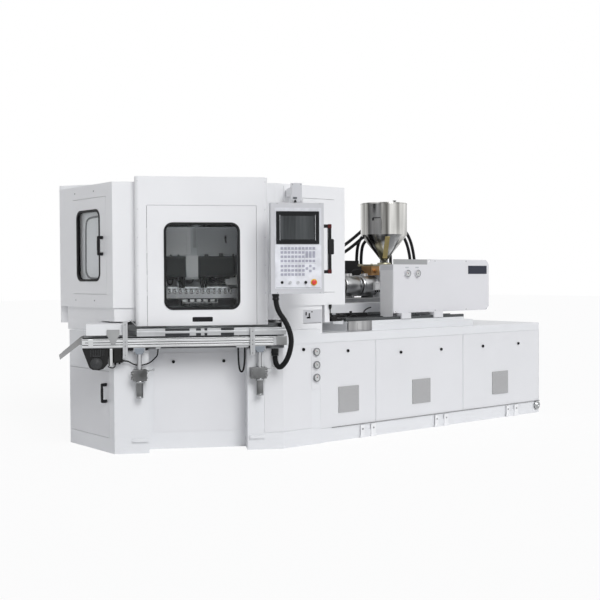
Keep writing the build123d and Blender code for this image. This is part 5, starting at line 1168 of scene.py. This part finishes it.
# Valve group. Black cast valves with square coils and plugs stand on the manifold behind the barrel, and
# hexagon steel unions are screwed in where the hoses leave the blocks.
valves = bmesh.new()
for x, top in ((1.840, 1.66), (1.930, 1.70), (2.020, 1.64), (2.110, 1.62)):
    brick(valves, (x - 0.030, 0.300, 1.300), (x + 0.030, 0.385, top - 0.06), 0.006, 3)
    brick(valves, (x - 0.036, 0.292, top - 0.14), (x + 0.036, 0.378, top - 0.05), 0.005, 3)
    bar(valves, (x, 0.335, top - 0.06), (x, 0.335, top), 0.020, sides=20)
    bar(valves, (x, 0.292, top - 0.095), (x, 0.270, top - 0.095), 0.018, sides=6)
brick(valves, (1.780, 0.290, 1.240), (2.200, 0.400, 1.310), 0.006, 3)
for x in (1.860, 2.080):
    brick(valves, (x, 0.310, 1.1305), (x + 0.060, 0.370, 1.240), 0.004)
finish_piece("valve_bodies", valves, black_plastic, "machine")
unions = bmesh.new()
port_top = 1.2505
for x in (2.490, 2.560):
    bar(unions, (x - 0.004, valve_side, 1.640), (x + 0.010, valve_side, 1.640), 0.026, sides=6)
for x, y in ((3.030, valve_side), (2.960, valve_side), (3.400, pressure_side), (3.330, pressure_side)):
    bar(unions, (x, y, port_top), (x, y, 1.272), 0.027, sides=6)
finish_piece("hose_unions", unions, ground_steel, "machine")

# Lid knob. A turned black plastic knob is screwed to the front of the hopper's lid to lift it.
# It has a waist below its flat head.
lid_knob = bmesh.new()
turned(lid_knob, ((0.0, 2.3065), (0.012, 2.3065), (0.010, 2.316), (0.020, 2.320), (0.020, 2.325), (0.0, 2.327)),
       (hopper_place, -0.17, 0), (0, 0, 1), 24)
finish_piece("lid_knob", lid_knob, black_plastic, "hopper_lid")

# Slab lines. Two short black rubber lines arch over the slab beside the guard's left end and are clipped to
# it at both ends.
for number, spots in enumerate((
    ((1.640, -0.700, 1.086), (1.560, -0.700, 1.086), (1.500, -0.690, 1.120), (1.560, -0.670, 1.180),
     (1.640, -0.660, 1.190)),
    ((1.440, -0.700, 1.086), (1.380, -0.710, 1.130), (1.320, -0.720, 1.120), (1.260, -0.720, 1.086)),
), 1):
    rigid_line(f"guard_line_{number}", [Vector(spot) for spot in spots], 0.014, cable_skin, "machine")


# Base details. A dark strip of painted shade lies in the gap between the panels and the plinth, painted steel feet
# are bolted to the plinth, fine mesh lies over each vent, and a round chrome coupling closes the cooling main.
def base_piece(name, mesh, finish):
    """Piece fixed to the front of the long base."""
    finish_piece(name, mesh, finish, "machine")


base_front = -1.1395
# Dark strip of painted shade in the gap above the plinth.
gap_shade_strips = blocks(((0.700, -1.1412, 0.1265), (3.7185, -1.1398, 0.1325)))
base_piece("plinth_gap_shade", gap_shade_strips, painted("gap_painted_shade", (0.22, 0.22, 0.225), 0.6, 0.7))
feet = bmesh.new()
foot_front = -1.147
for x in (1.140, 2.141, 3.239):
    for low, high in ((x - 0.088, x - 0.040), (x + 0.044, x + 0.104)):
        brick(feet, (low, foot_front, 0.004), (high, base_front, 0.118), 0.002)
        brick(feet, (low - 0.008, -1.152, 0.0), (high + 0.008, base_front, 0.022), 0.003)
base_piece("plinth_feet", feet, painted("foot_white", (0.82, 0.825, 0.84), 0.4, 0.93))
foot_bolts = bmesh.new()
for x in (1.076, 1.214, 2.077, 2.215, 3.175, 3.313):
    bar(foot_bolts, (x, foot_front, 0.080), (x, -1.1505, 0.080), 0.009, sides=6)
base_piece("foot_bolts", foot_bolts, ground_steel)
mesh_finish = painted("vent_mesh", (0.40, 0.40, 0.405), 0.55, 0.9)
tree = mesh_finish.node_tree
holes = tree.nodes.new("ShaderNodeTexChecker")
holes.inputs["Scale"].default_value = 260.0
holes.inputs["Color1"].default_value = (0.43, 0.43, 0.435, 1.0)
holes.inputs["Color2"].default_value = (0.33, 0.33, 0.335, 1.0)
vent_place = tree.nodes.new("ShaderNodeTexCoord")
tree.links.new(vent_place.outputs["Object"], holes.inputs["Vector"])
tree.links.new(holes.outputs["Color"], tree.nodes["Principled BSDF"].inputs["Base Color"])
vent_half = 0.123
vents = blocks(*(((x - vent_half, -1.1405, 0.257), (x + vent_half, -1.1385, 0.491), 0.0005)
                 for x in (0.913, 1.870, 3.059)))
base_piece("vent_meshes", vents, mesh_finish)
main_place, main_height, bolt_circle = 3.668, 0.083, 0.028
coupling = bmesh.new()
turned(coupling, ((0.0, -0.002), (0.044, -0.002), (0.044, 0.010), (0.038, 0.016), (0.024, 0.016), (0.024, 0.026),
                  (0.015, 0.028), (0.012, 0.020), (0.0, 0.019)),
       (main_place, base_front, main_height), (0, -1, 0), 36)
for count in range(6):
    angle = math.radians(60 * count)
    x, z = main_place + bolt_circle * math.cos(angle), main_height + bolt_circle * math.sin(angle)
    bar(coupling, (x, -1.1545, z), (x, -1.1580, z), 0.0040, sides=6)
base_piece("main_coupling", coupling, dial_steel)

# Skirt plate. A bare painted plate with a black plastic latch is screwed to the tower's skirt beside the
# slab's corner.
skirt_sheet = blocks(((0.469, -1.0275, 1.082), (0.687, -1.0248, 1.200), 0.001))
finish_piece("skirt_plate", skirt_sheet, pendant_white)
latch_back = -1.0272
latch = blocks(((0.492, -1.0315, 1.150), (0.505, latch_back, 1.182), 0.002),
               ((0.505, -1.0315, 1.122), (0.548, latch_back, 1.136), 0.002),
               ((0.528, -1.0330, 1.130), (0.541, latch_back, 1.170), 0.002))
bar(latch, (0.566, latch_back, 1.181), (0.566, -1.0325, 1.181), 0.006, sides=16)
finish_piece("skirt_latch", latch, black_plastic)

# Slab corner. The slab's left end is faced with bare ground steel that is screwed on, its colour banded with
# painted reflection, and black plastic cable clamps with screw caps stand on it beside the tower.
facing_painted_reflections = reflection_banded("facing_painted_reflections", (0.50, 0.50, 0.505), (0.17, 0.17, 0.175), 0.3)
slab_facing = blocks(((1.0005, -1.0385, 0.988), (1.300, -1.0358, 1.074), 0.001),
                     ((1.110, -1.0425, 0.996), (1.170, -1.0380, 1.066), 0.004),
                     ((1.0005, -1.0385, 1.074), (1.300, -1.020, 1.0800), 0.001))
base_piece("slab_facing", slab_facing, facing_painted_reflections)
slab_top = 1.086
clamp_blocks = blocks(((0.800, -1.030, slab_top), (0.868, -0.985, 1.128), 0.005, 3),
                      ((0.872, -1.030, slab_top), (0.930, -0.990, 1.112), 0.004, 3))
bar(clamp_blocks, (0.835, -1.000, 1.128), (0.835, -1.000, 1.146), 0.012, sides=16)
brick(clamp_blocks, (1.040, -0.700, slab_top), (1.260, -0.640, 1.128), 0.006, 3)
brick(clamp_blocks, (1.330, -0.700, slab_top), (1.560, -0.640, 1.142), 0.006, 3)
for x, top in ((1.10, 1.146), (1.20, 1.140), (1.36, 1.160)):
    bar(clamp_blocks, (x, -0.670, 1.120), (x, -0.670, top), 0.013, sides=16)
finish_piece("slab_blocks", clamp_blocks, black_plastic, "machine")

# Cable plug. A round black plug with a hexagon nut hangs on the tower's corner, and its short cable is
# clipped down to the clamps on the slab.
plug_place, plug_reach, nut_foot, nut_top = 0.770, -1.046, 1.200, 1.215
plug = bmesh.new()
bar(plug, (plug_place, plug_reach, nut_top), (plug_place, plug_reach, 1.243), 0.014, sides=20)
bar(plug, (plug_place, plug_reach, nut_foot), (plug_place, plug_reach, nut_top), 0.010, sides=6)
finish_piece("cable_plug", plug, cylinder_black)
plug_route = [Vector(spot) for spot in (
    (plug_place, plug_reach, nut_foot), (plug_place, plug_reach, 1.150), (0.790, -1.040, 1.120),
    (0.815, -1.020, 1.110))]
rigid_line("plug_line", plug_route, 0.009, cable_skin, "machine")

# Conduit's elbow. A moulded rubber boot is pushed over the upright end of the elbow, and a rubber sleeve
# covers its stub where it leaves the wall of the base.
sleeve_inside = 0.0292
boot = bmesh.new()
turned(boot, ((sleeve_inside, 0.8165), (0.0308, 0.8165), (0.0308, 0.8700), (0.0290, 0.8762), (0.0, 0.8770),
              (0.0, 0.8755), (0.0280, 0.8752), (sleeve_inside, 0.8690), (sleeve_inside, 0.8165)),
       at_front(620, 946, 0), (0, 0, 1), 32)
finish_piece("elbow_boot", boot, black_rubber, "machine")
stub = bmesh.new()
turned(stub, ((sleeve_inside, 0.0), (0.0306, 0.0), (0.0306, 0.030), (sleeve_inside, 0.030), (sleeve_inside, 0.0)),
       at_front(620, 915.5, 846), front_out, 32)
finish_piece("elbow_stub", stub, black_rubber, "machine")
